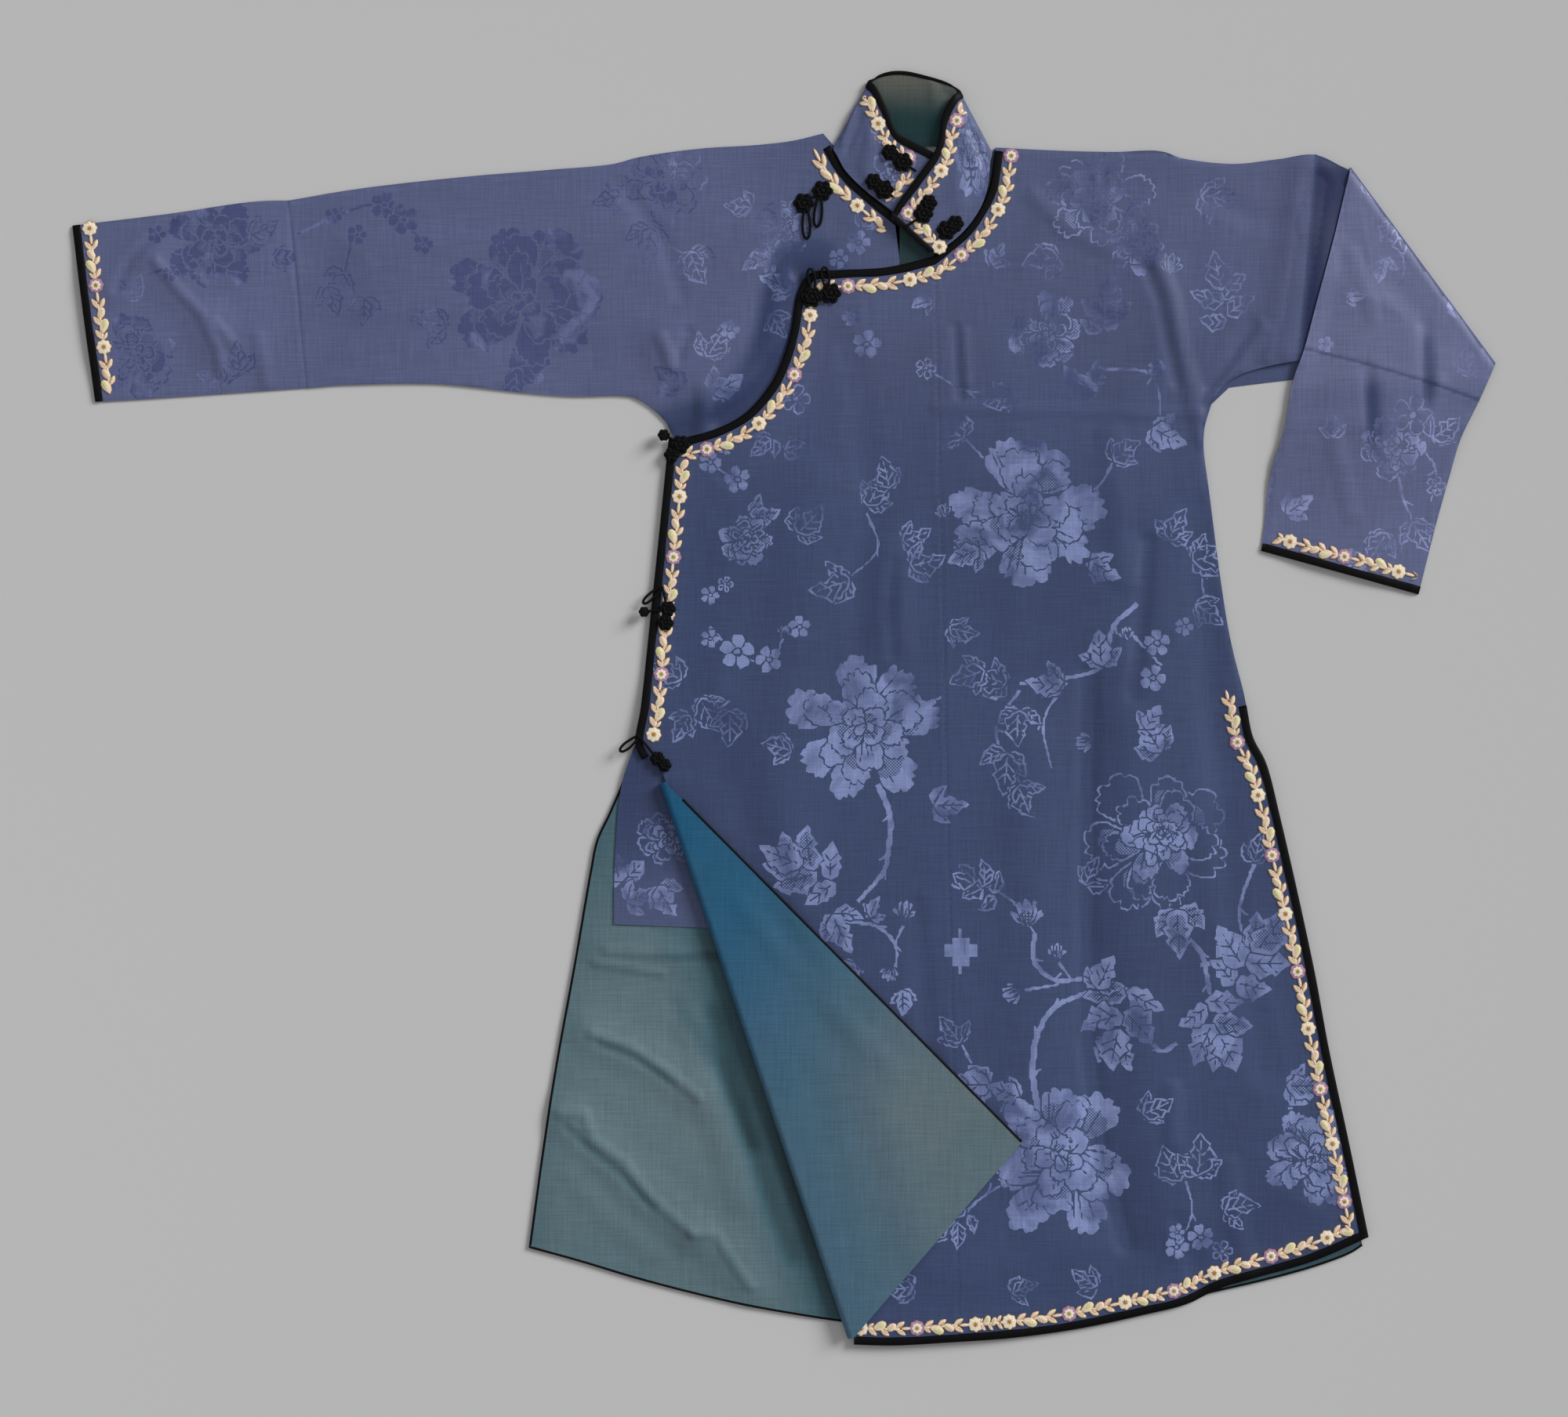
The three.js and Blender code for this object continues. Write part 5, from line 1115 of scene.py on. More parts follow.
# The turned sleeve is palest, a painted sheen; two troughs have painted shade, and its seam is deeper in colour
def fadeAndPaintedLightForearm(x, y):
    hollows = (smooth(530, 536, x) * smooth(556, 538, x) * smooth(216, 262, y) * smooth(314, 290, y)
               + smooth(583, 589, x) * smooth(604, 590, x) * smooth(270, 300, y) * smooth(356, 330, y))
    seam = np.exp(-(pathDistance(edges["forearmSeam"], x, y) / 1.2) ** 2)
    return 1.0 - 0.3 * smooth(310, 285, y) - 0.75 * hollows - 0.7 * seam


forearmValues = {"fadeAndPaintedLight": fadeAndPaintedLightForearm, "paintedSheen": sheenForearm}
turned = layCloth("left_sleeve_turned_over", split(forearmPanel, aboveSeam), onFace(faceForearm), silkSet,
                  "silk_damask", dropForearm, forearmValues)
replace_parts(turned, "left_sleeve_turned")
leftEnd = layCloth("left_sleeve_end", split(forearmPanel, lambda x, y: ~aboveSeam(x, y)), onFace(faceForearm),
                   silkSet, "silk_damask", dropForearm, forearmValues)
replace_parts(leftEnd, "left_sleeve_extension")
underSheet("left_sleeve_end_underside", forearmOutline, lambda x, y: forearmUnder(x, y) + 0.1)
print("sleeves laid")


# Back of the robe, two lengths of silk under everything, its face to the floor
backFigures = [(ring, kind) for ring, kind in outerFigures if kind == 1 and len(ring) > 24]
backPanel = cutPanel(backOutline, 8.0, backFigures)
backHalves = {"back_right": lambda x, y: x <= seamX(y), "back_left": lambda x, y: x > seamX(y)}
for node, keep in backHalves.items():
    backCloth = layCloth(node + "_cloth", split(backPanel, keep), onFace(lambda x, y: 0.2 + 0 * x), silkSet,
                         "silk_damask", lambda x, y: -1.0 + 0 * x,
                         {"fadeAndPaintedLight": lambda x, y: 0.3 * smooth(120, 480, y)}, True)
    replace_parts(backCloth, node)


# Back lining
def faceBackLining(x, y):
    z = liningUnder(x, y) + cloth
    return z + 1.4 * foldHeight(creases["backLining"], x, y) * smooth(-8, -40, pastCorner(x, y))


# Grey in the open and blue at the side, with painted shade next to the turned corner and along its creases
def fadeAndPaintedShadeBackLining(x, y):
    past = pastCorner(x, y) + 0 * x
    side = smooth(34, 0, x - np.interp(y, [-500, -200], [-236, -192]))
    hollow = smooth(-16, -2, past) * (0.25 + 0.5 * np.exp(-((y + 440) / 80) ** 2))
    hollow = hollow + 0.5 * np.exp(-((y + 227) / 5) ** 2) * smooth(-150, -75, x) * smooth(10, -2, past)
    for height, width, path in creases["backLining"]:
        if height < 0:
            hollow = hollow + 0.45 * np.exp(-(pathDistance(path, x, y) / width) ** 2)
    low = smooth(-360, -520, y)
    return smooth(-60, -300, y) * smooth(-12, -60, past) * (1 - 0.35 * side - 0.3 * low) - hollow


liningEdge = outlineOf([(-137, -33), *edges["backVentRight"]], edges["backHem"], edges["backVentLeft"][:5])
liningEdge = offsetPath(liningEdge, 1.8)
liningOutline = np.vstack([liningEdge[liningEdge[:, 1] < -30], [(425, -30), (-133, -30)]])
backLining = layCloth("back_lining_cloth", cutPanel(liningOutline, 4.2), onFace(faceBackLining),
                      [backLiningFinish], "lining", lambda x, y: cloth + 0 * x, {"fadeAndPaintedLight": fadeAndPaintedShadeBackLining})
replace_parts(backLining, "back_lining")
neckOutline = outlineOf([(106.6, 398), (165, 398), (184, 440), (184, 500), (106.6, 500), (106.6, 398)])
neckLining = layCloth("neck_lining_cloth", cutPanel(neckOutline, 4.0), onFace(lambda x, y: 2.7 + 0 * x),
                      [neckLiningFinish], "lining", lambda x, y: cloth + 0 * x, {"fadeAndPaintedLight": 0.1})
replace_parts(neckLining, "neck_lining")


# A sheet between rows and columns of points, its outer face along its normals
def layGrid(name, grid, finishes, fadeAndPaintedLight, flip=False, rim=None):
    points = grid.reshape(-1, 3)
    normals = unit(np.cross(*(np.gradient(grid, axis=way).reshape(-1, 3) for way in (1, 0))))
    index = np.arange(len(points)).reshape(grid.shape[:2])
    faces = gridQuads(index)
    if flip:
        faces, normals = faces[:, ::-1], -normals
    loopNormals = normals[faces.ravel()]
    data = {"fadeAndPaintedLight": np.asarray(fadeAndPaintedLight, float).ravel(), "paintedSheen": np.full(len(points), 0.5)}
    if rim is not None:
        ring = np.concatenate([index[0, :], index[1:, -1], index[-1, -2::-1], index[-2:0:-1, 0]])
        below = len(points) + np.arange(len(ring))
        points = np.vstack([points, points[ring] - normals[ring] * rim])
        walls = np.column_stack([ring, below, np.roll(below, -1), np.roll(ring, -1)])
        loopNormals = np.vstack([loopNormals, np.repeat(faceNormals(points, walls), 4, axis=0)])
        faces = np.vstack([faces, walls])
        data = {key: np.concatenate([value, value[ring]]) for key, value in data.items()}
    slotName = "silk_damask" if flip else "lining"
    return newPiece(name, points, faces, finishes, slotName, None, loopNormals, data)


# The overlap's corner, turned over on its crease: silk inside the bend, lining outside
def cornerReach(t):
    rise = corner["tipReach"] * (t - corner["zero"]) / (corner["tipAlong"] - corner["zero"])
    fall = corner["tipReach"] * (creaseLength - t) / (creaseLength - corner["tipAlong"])
    return np.where(t < corner["tipAlong"], rise, fall)


def cornerPlace(t, n):
    return creaseFrom[0] + along[0] * t + across[0] * n, creaseFrom[1] + along[1] * t + across[1] * n


bend = corner["bendHeight"] + ply
stations = np.concatenate([np.linspace(corner["start"], corner["tipAlong"], 120),
                           np.linspace(corner["tipAlong"], corner["end"], 36)[1:]])


def turnedGrid(radius, lift, inset, rows=34):
    axis = corner["base"] + corner["bendHeight"]
    lines = []
    for angle in np.radians(np.linspace(0, 180, 17)):
        x, y = cornerPlace(stations, bend - radius * math.sin(angle))
        lines.append(np.column_stack([x, y, np.full(len(x), axis - radius * math.cos(angle))]))
    reach = np.maximum(cornerReach(stations) - inset, bend + 0.8)
    for part in np.linspace(0, 1, rows + 1)[1:]:
        n = bend + (reach - bend) * part
        x, y = cornerPlace(stations, n)
        sink = corner["sink"] * (1 - smooth(0, corner["sinkReach"], n - bend))
        soft = foldHeight(creases["flap"], x, y) * smooth(0, 40, n - bend) * smooth(0, 14, reach - n)
        flat = smooth(0, 16, n - bend)
        z = (axis + radius) * (1 - flat) + (outerTop(x, y) + corner["lift"] + sink + lift + soft) * flat
        lines.append(np.column_stack([x, y, z]))
    return np.stack(lines)


liningGrid = turnedGrid(bend, cloth + ply, 1.5)
gridN = pastCorner(liningGrid[:, :, 0], liningGrid[:, :, 1])
fadeCorner = smooth(60, 420, stations)[None, :] * (0.45 + 0.55 * smooth(8, 150, gridN))
cornerLining = layGrid("corner_lining_cloth", liningGrid, [cornerLiningFinish], fadeCorner, rim=cloth)
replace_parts(cornerLining, "corner_lining")
turnedSilk = turnedGrid(2.8, 0.0, 1.5, 20)
layGrid("overlap_corner_silk", turnedSilk, silkSet[:1], np.full(turnedSilk.shape[:2], 0.1), flip=True)
print("corner turned")


# Stand collar, one band
collar = {"width": 66.0, "half": 0.6}
# Points of its neck edge and its rim, side by side, from the overlap round to the right front
collarRows = np.array([
    (125, 437, 5.6, 150, 498, 6.4), (110, 448, 5.4, 135, 511, 6.2), (96, 459, 5.2, 119.5, 519, 6.2),
    (76, 474, 5.2, 104, 528.5, 6.2), (56, 494, 5.2, 94, 551.5, 6.2), (49, 507, 5.1, 84, 571, 5.9),
    (45.5, 514, 4.0, 79, 576, 4.4), (48, 517, 2.3, 82, 578, 2.3), (62, 518, 2.1, 88, 582, 2.1),
    (88, 517, 2.1, 99, 585, 2.1), (118, 516, 2.1, 112, 585, 2.1), (150, 516, 2.1, 130, 581, 2.1),
    (176, 515, 2.1, 148, 575.5, 2.1), (187, 513, 2.3, 157, 570.5, 2.3), (190.5, 510, 4.4, 160.5, 566, 4.6),
    (189, 500, 6.2, 156, 563, 8.4), (187, 479, 6.6, 146, 546, 9.6), (180, 459, 7.0, 140, 515, 10.4),
    (165, 438, 7.8, 121, 486, 10.6), (147, 423, 8.6, 105, 464, 10.6), (134, 417, 9.0, 97, 450, 10.6)])


def splineAt(points, share):
    share = np.clip(share, 0, 1) * (len(points) - 1)
    index = np.minimum(share.astype(int), len(points) - 2)
    weight = (share - index)[:, None]
    p = np.vstack([2 * points[0] - points[1], points, 2 * points[-1] - points[-2]])
    p0, p1, p2, p3 = (p[index + k] for k in range(4))
    d0, d1, d2 = (np.maximum(np.linalg.norm(b - a, axis=1), 1e-4)[:, None] ** 0.5
                  for a, b in ((p0, p1), (p1, p2), (p2, p3)))
    m1 = ((p1 - p0) / d0 - (p2 - p0) / (d0 + d1) + (p2 - p1) / d1) * d1
    m2 = ((p2 - p1) / d1 - (p3 - p1) / (d1 + d2) + (p3 - p2) / d2) * d1
    w2, w3 = weight ** 2, weight ** 3
    return p1 + m1 * weight + (3 * (p2 - p1) - 2 * m1 - m2) * w2 + (2 * (p1 - p2) + m1 + m2) * w3


def collarMiddle(u, v):
    neck, rim = splineAt(collarRows[:, :3], u), splineAt(collarRows[:, 3:], u)
    return neck + (rim - neck) * (np.asarray(v, float) / collar["width"])[:, None]


def onCollar(u, v, lift):
    u, v = np.broadcast_arrays(np.asarray(u, float), np.asarray(v, float))
    u, v = np.atleast_1d(u).ravel(), np.atleast_1d(v).ravel()
    run = collarMiddle(u + 0.004, v) - collarMiddle(u - 0.004, v)
    rise = collarMiddle(u, np.full(len(u), collar["width"])) - collarMiddle(u, np.zeros(len(u)))
    lift = np.broadcast_to(np.asarray(lift, float), (len(u),))[:, None]
    return collarMiddle(u, v) + unit(np.cross(rise, run)) * lift


neckLine = splineAt(collarRows[:, :3], np.linspace(0, 1, 400))
collarLength = lengthOf(neckLine)[-1]
collarCorners = [(0, 0), (collarLength, 0), (collarLength, collar["width"]), (0, collar["width"])]
collarOutline = np.vstack([curve([a, b])[:-1]
                           for a, b in zip(collarCorners, collarCorners[1:] + collarCorners[:1])])


def faceCollar(x, y):
    soft = foldHeight(creases["collar"], x, y) * smooth(2, 14, y) * smooth(46, 34, y)
    return onCollar(x / collarLength, y, collar["half"] + soft)


def faceCollarLining(x, y):
    return onCollar(x / collarLength, y, -collar["half"] - 0.7 * foldHeight(creases["collarLining"], x, y))


collarCloth = layCloth("collar_cloth", cutPanel(collarOutline, 3.4, collarFigures), faceCollar, silkSet,
                       "silk_damask", None, {"fadeAndPaintedLight": 0.4, "paintedSheen": 0.5}, True)
layCloth("collar_inner", cutPanel(collarOutline, 4.0), faceCollarLining, [neckLiningFinish], "lining", None,
         {"fadeAndPaintedLight": lambda x, y: smooth(22, 62, y)})
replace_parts(collarCloth, "collar", "collar_lining")
print("collar made")


# Bindings: a bias strip of satin folded round the edge, and its profile: how far in and how high, in mm
bindings = {"step": 3.0, "wave": 0.025, "waveLength": 17.0, "ripple": 0.015, "rippleLength": 5.3}
wrap = [(7.1, 0.02), (7.0, 0.55), (6.3, 0.85), (3.6, 0.98), (1.0, 0.9), (0.0, 0.45), (-0.35, -0.3), (-0.2, -1.1),
        (1.0, -1.5)]
wrapBoth = wrap[:7] + [(-0.35, -1.0), (0.0, -1.75), (0.8, -2.1), (3.2, -2.15), (3.5, -1.6)]
wrapNarrow = [(1.8, 0.02), (1.7, 0.4), (0.8, 0.6), (0.0, 0.4), (-0.3, -0.3), (-0.2, -1.2)]


def onSurface(face):
    return lambda x, y, lift: np.column_stack([x, y, face(x, y) + lift])


def onCollarFace(x, y, lift):
    return onCollar(x / collarLength, y, collar["half"] + lift)


def ribbon(name, runs, node, profile=wrap):
    parts = []
    for path, place, side in runs:
        path = curve(path, bindings["step"]) if isinstance(path, list) else path
        left, s = leftOf(path) * side, lengthOf(path)
        wobble = 1 + bindings["wave"] * np.sin(s / bindings["waveLength"])
        wobble = wobble + bindings["ripple"] * np.sin(s / bindings["rippleLength"])
        rows = []
        for n, h in profile:
            p, q = path + left * max(n, 0.0), path + left * (n * wobble)[:, None]
            made = place(p[:, 0], p[:, 1], h)
            made[:, :2] += 0 if place is onCollarFace else q - p
            rows.append(made)
        points = np.vstack(rows)
        index = np.arange(len(points)).reshape(len(rows), -1)
        quads = gridQuads(index)
        # the short ends are closed
        ends = [index[:, 0][::side], index[:, -1][::-side]]
        parts.append((points, [*ends, *(quads[:, ::-1] if side > 0 else quads)]))
    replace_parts(newPiece(name, *joined(parts), [satin], "satin_binding"), node)


outerSurface, innerSurface = onSurface(faceOuter), onSurface(faceInner)
extensionSurface, forearmSurface = onSurface(faceExtension), onSurface(faceForearm)
sidePath = [(-105.5, 248), *edges["sideRight"][1:], (-130, -47)]
aboveOuter = onSurface(lambda x, y: faceOuter(x, y) + 0.15)
overlapEdge = outlineOf(edges["neckLeft"], edges["overlap"], [(-99, 246), (-106, 244)])
ribbon("overlap_binding", [(overlapEdge, outerSurface, 1), (sidePath, aboveOuter, 1)], "binding_overlap")
ribbon("hem_binding", [([(64, -583.1), *edges["frontHem"][1:]], outerSurface, 1),
                       (edges["frontVentLeft"], aboveOuter, 1)], "binding_hem")
ribbon("neck_binding", [(edges["neckRight"], innerSurface, -1)], "binding_neck")
ribbon("right_cuff_binding", [(edges["cuffRight"], extensionSurface, 1)], "binding_right_cuff")
ribbon("left_cuff_binding", [([(438, 145), (582.5, 105)], forearmSurface, 1)], "binding_left_cuff")
rim = np.column_stack([np.linspace(0.0, 0.999, 160) * collarLength, np.full(160, collar["width"])])
short = np.column_stack([np.full(24, collarLength), np.linspace(collar["width"], 0.5, 24)])
ribbon("collar_binding",
       [(rim, onCollarFace, -1), (short, lambda x, y, lift: onCollarFace(x, y, lift + 0.1), -1)],
       "binding_collar", wrapBoth)
backRun = outlineOf([(-139, -40), *edges["backVentRight"]], edges["backHem"])
ribbon("back_edge", [(backRun, onSurface(lambda x, y: liningUnder(x, y) + cloth), 1)], "edge_back", wrapNarrow)


def cornerSurface(x, y, lift):
    n = pastCorner(x, y)
    sink = corner["sink"] * (1 - smooth(0, corner["sinkReach"], n - bend))
    return np.column_stack([x, y, outerTop(x, y) + corner["lift"] + sink + ply + cloth + lift])


tFree = np.linspace(corner["start"] + 20, corner["end"] - 6, 170)
freeEdge = np.column_stack(cornerPlace(tFree, np.maximum(cornerReach(tFree), bend + 1.0)))
freeEdge = freeEdge[tFree <= corner["tipAlong"] + 1]
ribbon("corner_edge", [(freeEdge, cornerSurface, -1)], "edge_corner", wrapNarrow)
print("bindings sewn on")


# Braid: a woven chain of flowers, leaf pairs, buds and bells, each a low cushion of threads with a brown edge
braid = {"repeat": 54.5, "inset": 15.0, "rise": 0.5}


def template(make, keepAbove=None):
    make()
    made = bpy.context.object
    if keepAbove is not None:
        bpy.ops.object.mode_set(mode="EDIT")
        bpy.ops.mesh.select_all(action="SELECT")
        bpy.ops.mesh.bisect(plane_co=(0, 0, keepAbove), plane_no=(0, 0, 1), clear_inner=True)
        bpy.ops.object.mode_set(mode="OBJECT")
    points = np.array([v.co[:] for v in made.data.vertices])
    faces = [list(p.vertices) for p in made.data.polygons]
    bpy.data.objects.remove(made, do_unlink=True)
    return points, faces


dome = template(lambda: bpy.ops.mesh.primitive_uv_sphere_add(segments=10, ring_count=6, radius=1), 0.0)


def ringedDisc():
    bpy.ops.mesh.primitive_circle_add(vertices=32, radius=1, fill_type="NGON")
    bpy.ops.object.mode_set(mode="EDIT")
    bpy.ops.mesh.select_all(action="SELECT")
    for step in (0.1, 0.25, 0.3):
        bpy.ops.mesh.inset(thickness=step)
    bpy.ops.object.mode_set(mode="OBJECT")


disc = template(ringedDisc)
braidParts = []


def addDome(finishName, s, n, turn, long, wide, high, low=0.0, pointed=0.0, flare=0.0):
    x, y, z = dome[0].T
    y = y * (1 - pointed * x ** 2) * (1 + flare * x)
    c, sn = math.cos(math.radians(turn)), math.sin(math.radians(turn))
    u, v = x * long / 2, y * wide / 2
    braidParts.append((s + u * c - v * sn, n + u * sn + v * c, low + high * z, dome[1], finishName))


def addLeaf(base, tip, wide, finishName="cream"):
    middle = ((base[0] + tip[0]) / 2, (base[1] + tip[1]) / 2)
    long = math.dist(base, tip)
    turn = math.degrees(math.atan2(tip[1] - base[1], tip[0] - base[0]))
    addDome("outline", *middle, turn, long + 1.1, wide + 1.1, 0.45, 0, 0.55)
    addDome(finishName, *middle, turn, long, wide, 0.75, 0.25, 0.6)
    # the darker half of the leaf, past its vein
    off = 0.22 * wide * (1 if tip[1] > 0 else -1)
    a = math.radians(turn)
    side = (middle[0] - math.sin(a) * off, middle[1] + math.cos(a) * off)
    addDome("shadow", *side, turn, long * 0.66, wide * 0.3, 0.35, 0.72, 0.6)


def addDisc(finishName, radius, scallops, depth, low, high):
    x, y, _ = disc[0].T
    r, a = np.hypot(x, y), np.arctan2(y, x)
    wave = 1 + depth * np.cos(scallops * a) * r
    grooves = 0.12 * np.cos(scallops * a) * (r > 0.5)
    z = low + high * ((1 - r ** 2.0) + grooves * high)
    braidParts.append((x * radius * wave, y * radius * wave, z, disc[1], finishName))


def addStar(finishName, radius, low):
    a = np.linspace(0, 2 * math.pi, 17)[:-1]
    r = np.where(np.arange(16) % 2 == 0, radius, radius * 0.45)
    x, y = np.append(r * np.cos(a), 0), np.append(r * np.sin(a), 0)
    faces = [[k, (k + 1) % 16, 16] for k in range(16)]
    braidParts.append((x, y, np.append(np.full(16, low), low + 0.3), faces, finishName))


def flowerParts(kind):
    braidParts.clear()
    if kind == "W":
        addDisc("outline", 7.0, 8, 0.07, 0.05, 0.5)
        addDisc("white", 6.3, 8, 0.09, 0.35, 0.75)
        addStar("gold", 3.2, 1.12)
        addDome("outline", 0, 0, 0, 1.5, 1.5, 0.4, 1.2)
    else:
        addDisc("outline", 7.0, 8, 0.06, 0.05, 0.45)
        addDisc("mauve", 6.5, 8, 0.08, 0.3, 0.7)
        addDisc("white", 4.4, 8, 0.12, 0.72, 0.35)
        addStar("yellow", 2.8, 1.12)
        addDome("outline", 0, 0, 0, 1.3, 1.3, 0.35, 1.2)
    return list(braidParts)


def linkParts():
    braidParts.clear()
    for s, n, turn, long, wide in ((10.5, 0, 0, 9.5, 2.7), (20.5, 0.2, 0, 8, 2.4), (29, 0.2, -8, 8, 2.2),
                                   (37, 0.4, 6, 9, 2.3), (45.5, 0, 0, 6, 3.2)):
        addDome("outline", s, n, turn, long + 0.9, wide + 0.9, 0.4, 0, 0.1)
        addDome("cream", s, n, turn, long, wide, 0.65, 0.2, 0.1)
    addLeaf((20.8, -0.7), (12.0, -6.2), 4.6)
    addLeaf((20.4, 0.7), (11.4, 5.8), 4.4)
    addDome("outline", 24.8, -1.4, 28, 11.4, 7.6, 0.5)
    addDome("cream", 24.8, -1.4, 28, 10.4, 6.6, 0.9, 0.25)
    addDome("pink", 24.2, -2.0, 28, 6.6, 3.2, 0.5, 0.75)
    addDome("green", 25.4, -0.7, 24, 6.0, 1.3, 0.35, 0.98)
    addLeaf((35.2, 0.9), (27.2, 6.0), 4.6)
    addDome("outline", 36.6, -2.6, 22, 15.2, 8.2, 0.5, 0, 0.2, -0.42)
    addDome("cream", 36.6, -2.6, 22, 14.2, 7.2, 0.85, 0.25, 0.2, -0.42)
    addDome("green", 35.2, -3.3, 22, 9.2, 4.0, 0.5, 0.78, 0.3, -0.4)
    addLeaf((47.6, 0.5), (39.0, 5.8), 4.6)
    addLeaf((48.2, -0.6), (42.2, -4.8), 3.2)
    return list(braidParts)


flowers = {kind: flowerParts(kind) for kind in "WM"}
link = linkParts()


# The height of a collar flap over a place on the floor
def flapHeight(fromU, toU):
    u, v = np.meshgrid(np.linspace(fromU, toU, 70), np.linspace(0, collar["width"], 56))
    shell = onCollar(u, v, collar["half"])

    def height(x, y):
        out = []
        for a, b in zip(x, y):
            far = (shell[:, 0] - a) ** 2 + (shell[:, 1] - b) ** 2
            near = np.argpartition(far, 5)[:6]
            out.append(np.average(shell[near, 2], weights=1 / (far[near] + 0.2)))
        return np.array(out)
    return height


over, under = flapHeight(0.66, 1.0), flapHeight(0.0, 0.34)


# Lays flowers at their places along a path, with a link after each. The places are in the photo's pixels
def sewBraid(name, runs, node):
    parts, kinds = [], []
    for path, place, side, spots in runs:
        path = curve(path, 2.0) if isinstance(path, list) else path
        path = offsetPath(path, side * braid["inset"]) if side else path
        s, run = lengthOf(path), unit(np.gradient(path, axis=0))
        marks = [(s[np.argmin(np.hypot(*(path - inMm(px, py, 1)).T))], kind) for kind, px, py in spots]
        marks = [(marks[0][0] - braid["repeat"], ""), *marks, (marks[-1][0] + braid["repeat"], "")]
        laid = []
        for k, ((start, kind), (end, _)) in enumerate(zip(marks, marks[1:])):
            stretch = (end - start) / braid["repeat"]
            mirror = 1 if k % 2 else -1
            laid += [(start + ds, *rest) for ds, *rest in flowers.get(kind, [])]
            for ds, n, z, faces, finishName in link:
                at = start + ds * stretch
                if at.min() >= -1 and at.max() <= s[-1] + 1:
                    laid.append((at, n * mirror, z, [face[::mirror] for face in faces], finishName))
        for at, n, z, faces, finishName in laid:
            # past an end the braid runs straight on
            past = np.where(at < 0, at, np.where(at > s[-1], at - s[-1], 0))
            rx, ry = np.interp(at, s, run[:, 0]), np.interp(at, s, run[:, 1])
            x = np.interp(at, s, path[:, 0]) + rx * past - ry * n
            y = np.interp(at, s, path[:, 1]) + ry * past + rx * n
            parts.append((place(x, y, z + braid["rise"]), faces))
            kinds += [list(braidSet).index(finishName)] * len(faces)
    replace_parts(newPiece(name, *joined(parts), list(braidSet.values()), "braid", kinds), node)


overlapPath = outlineOf(edges["neckLeft"], edges["overlap"])
sewBraid("overlap_braid", [
    (overlapPath, outerSurface, 1,
     [("M", 1278, 199), ("W", 1270, 268), ("M", 1226, 325), ("W", 1159, 354), ("M", 1083, 361), ("W", 1031, 403),
      ("M", 1012, 477), ("W", 966, 537), ("M", 899, 569)]),
    ([(-107.3, 231), *edges["sideRight"][1:]], outerSurface, 1,
     [("W", 866, 633), ("M", 858, 711), ("W", 850, 785), ("M", 842, 860), ("W", 832, 937)])], "braid_overlap")
hemPath = curve([(62, -583), *edges["frontHem"][1:-1], (527, -489)], 2.0)[::-1]
ventPath = curve([(534, -476), *edges["frontVentLeft"][1:], (420, 20)], 2.0)[::-1]
sewBraid("hem_braid", [
    (hemPath, outerSurface, -1,
     [("W", 1692, 1577), ("M", 1620, 1597), ("W", 1548, 1620), ("M", 1496, 1643), ("W", 1434, 1658),
      ("M", 1362, 1674), ("W", 1288, 1684), ("W", 1243, 1689), ("M", 1169, 1693), ("W", 1099, 1696)]),
    (ventPath, outerSurface, -1,
     [("M", 1582, 944), ("W", 1601, 1015), ("M", 1618, 1092), ("W", 1638, 1165), ("M", 1653, 1239),
      ("W", 1667, 1313), ("M", 1681, 1388), ("W", 1698, 1460), ("M", 1713, 1533)])], "braid_hem")
sewBraid("neck_braid", [([(38, 527), (44, 514), *edges["neckRight"][1:]], innerSurface, -1,
                         [("", 1046, 168), ("W", 1099, 258)])], "braid_neck")
sewBraid("right_cuff_braid", [([(-652, 439), (-646, 388), (-633, 286)], extensionSurface, 1,
                               [("W", 116, 292), ("M", 121, 366), ("W", 132, 443)])], "braid_right_cuff")
sewBraid("left_cuff_braid", [([(443, 143.5), (577, 106.5)], forearmSurface, 1,
                              [("W", 1645, 687), ("M", 1717, 704), ("W", 1785, 722)])], "braid_left_cuff")
braidV = collar["width"] - braid["inset"]
overRun = onCollar(np.linspace(0.70, 0.965, 90), braidV, 0)[:, :2]
overEnd = onCollar(1 - braid["inset"] / collarLength, np.linspace(braidV - 4, 3, 30), 0)[:, :2]
underRun = onCollar(np.linspace(0.335, 0.10, 80), braidV, 0)[:, :2]
underEnd = curve([(121, 505), (114, 488), (104.4, 476), (93, 464)], 2.0)
sewBraid("collar_over_braid", [
    (overRun, onSurface(over), 0, [("M", 1219, 155), ("W", 1197, 217), ("M", 1157, 272)]),
    (overEnd, onSurface(over), 0, [("W", 1199.03, 314)])], "braid_collar_over")
sewBraid("collar_under_braid", [
    (underRun, onSurface(under), 0, [("W", 1120, 159), ("M", 1167, 205)]),
    (underEnd, onSurface(under), 0, [("", 1165.28, 209.56)])], "braid_collar_under")
print("braid sewn on")


# Frogs: rosettes, ball knots and loops of black cord
frog = {"cord": 1.25, "sides": 7, "crown": 0.82}


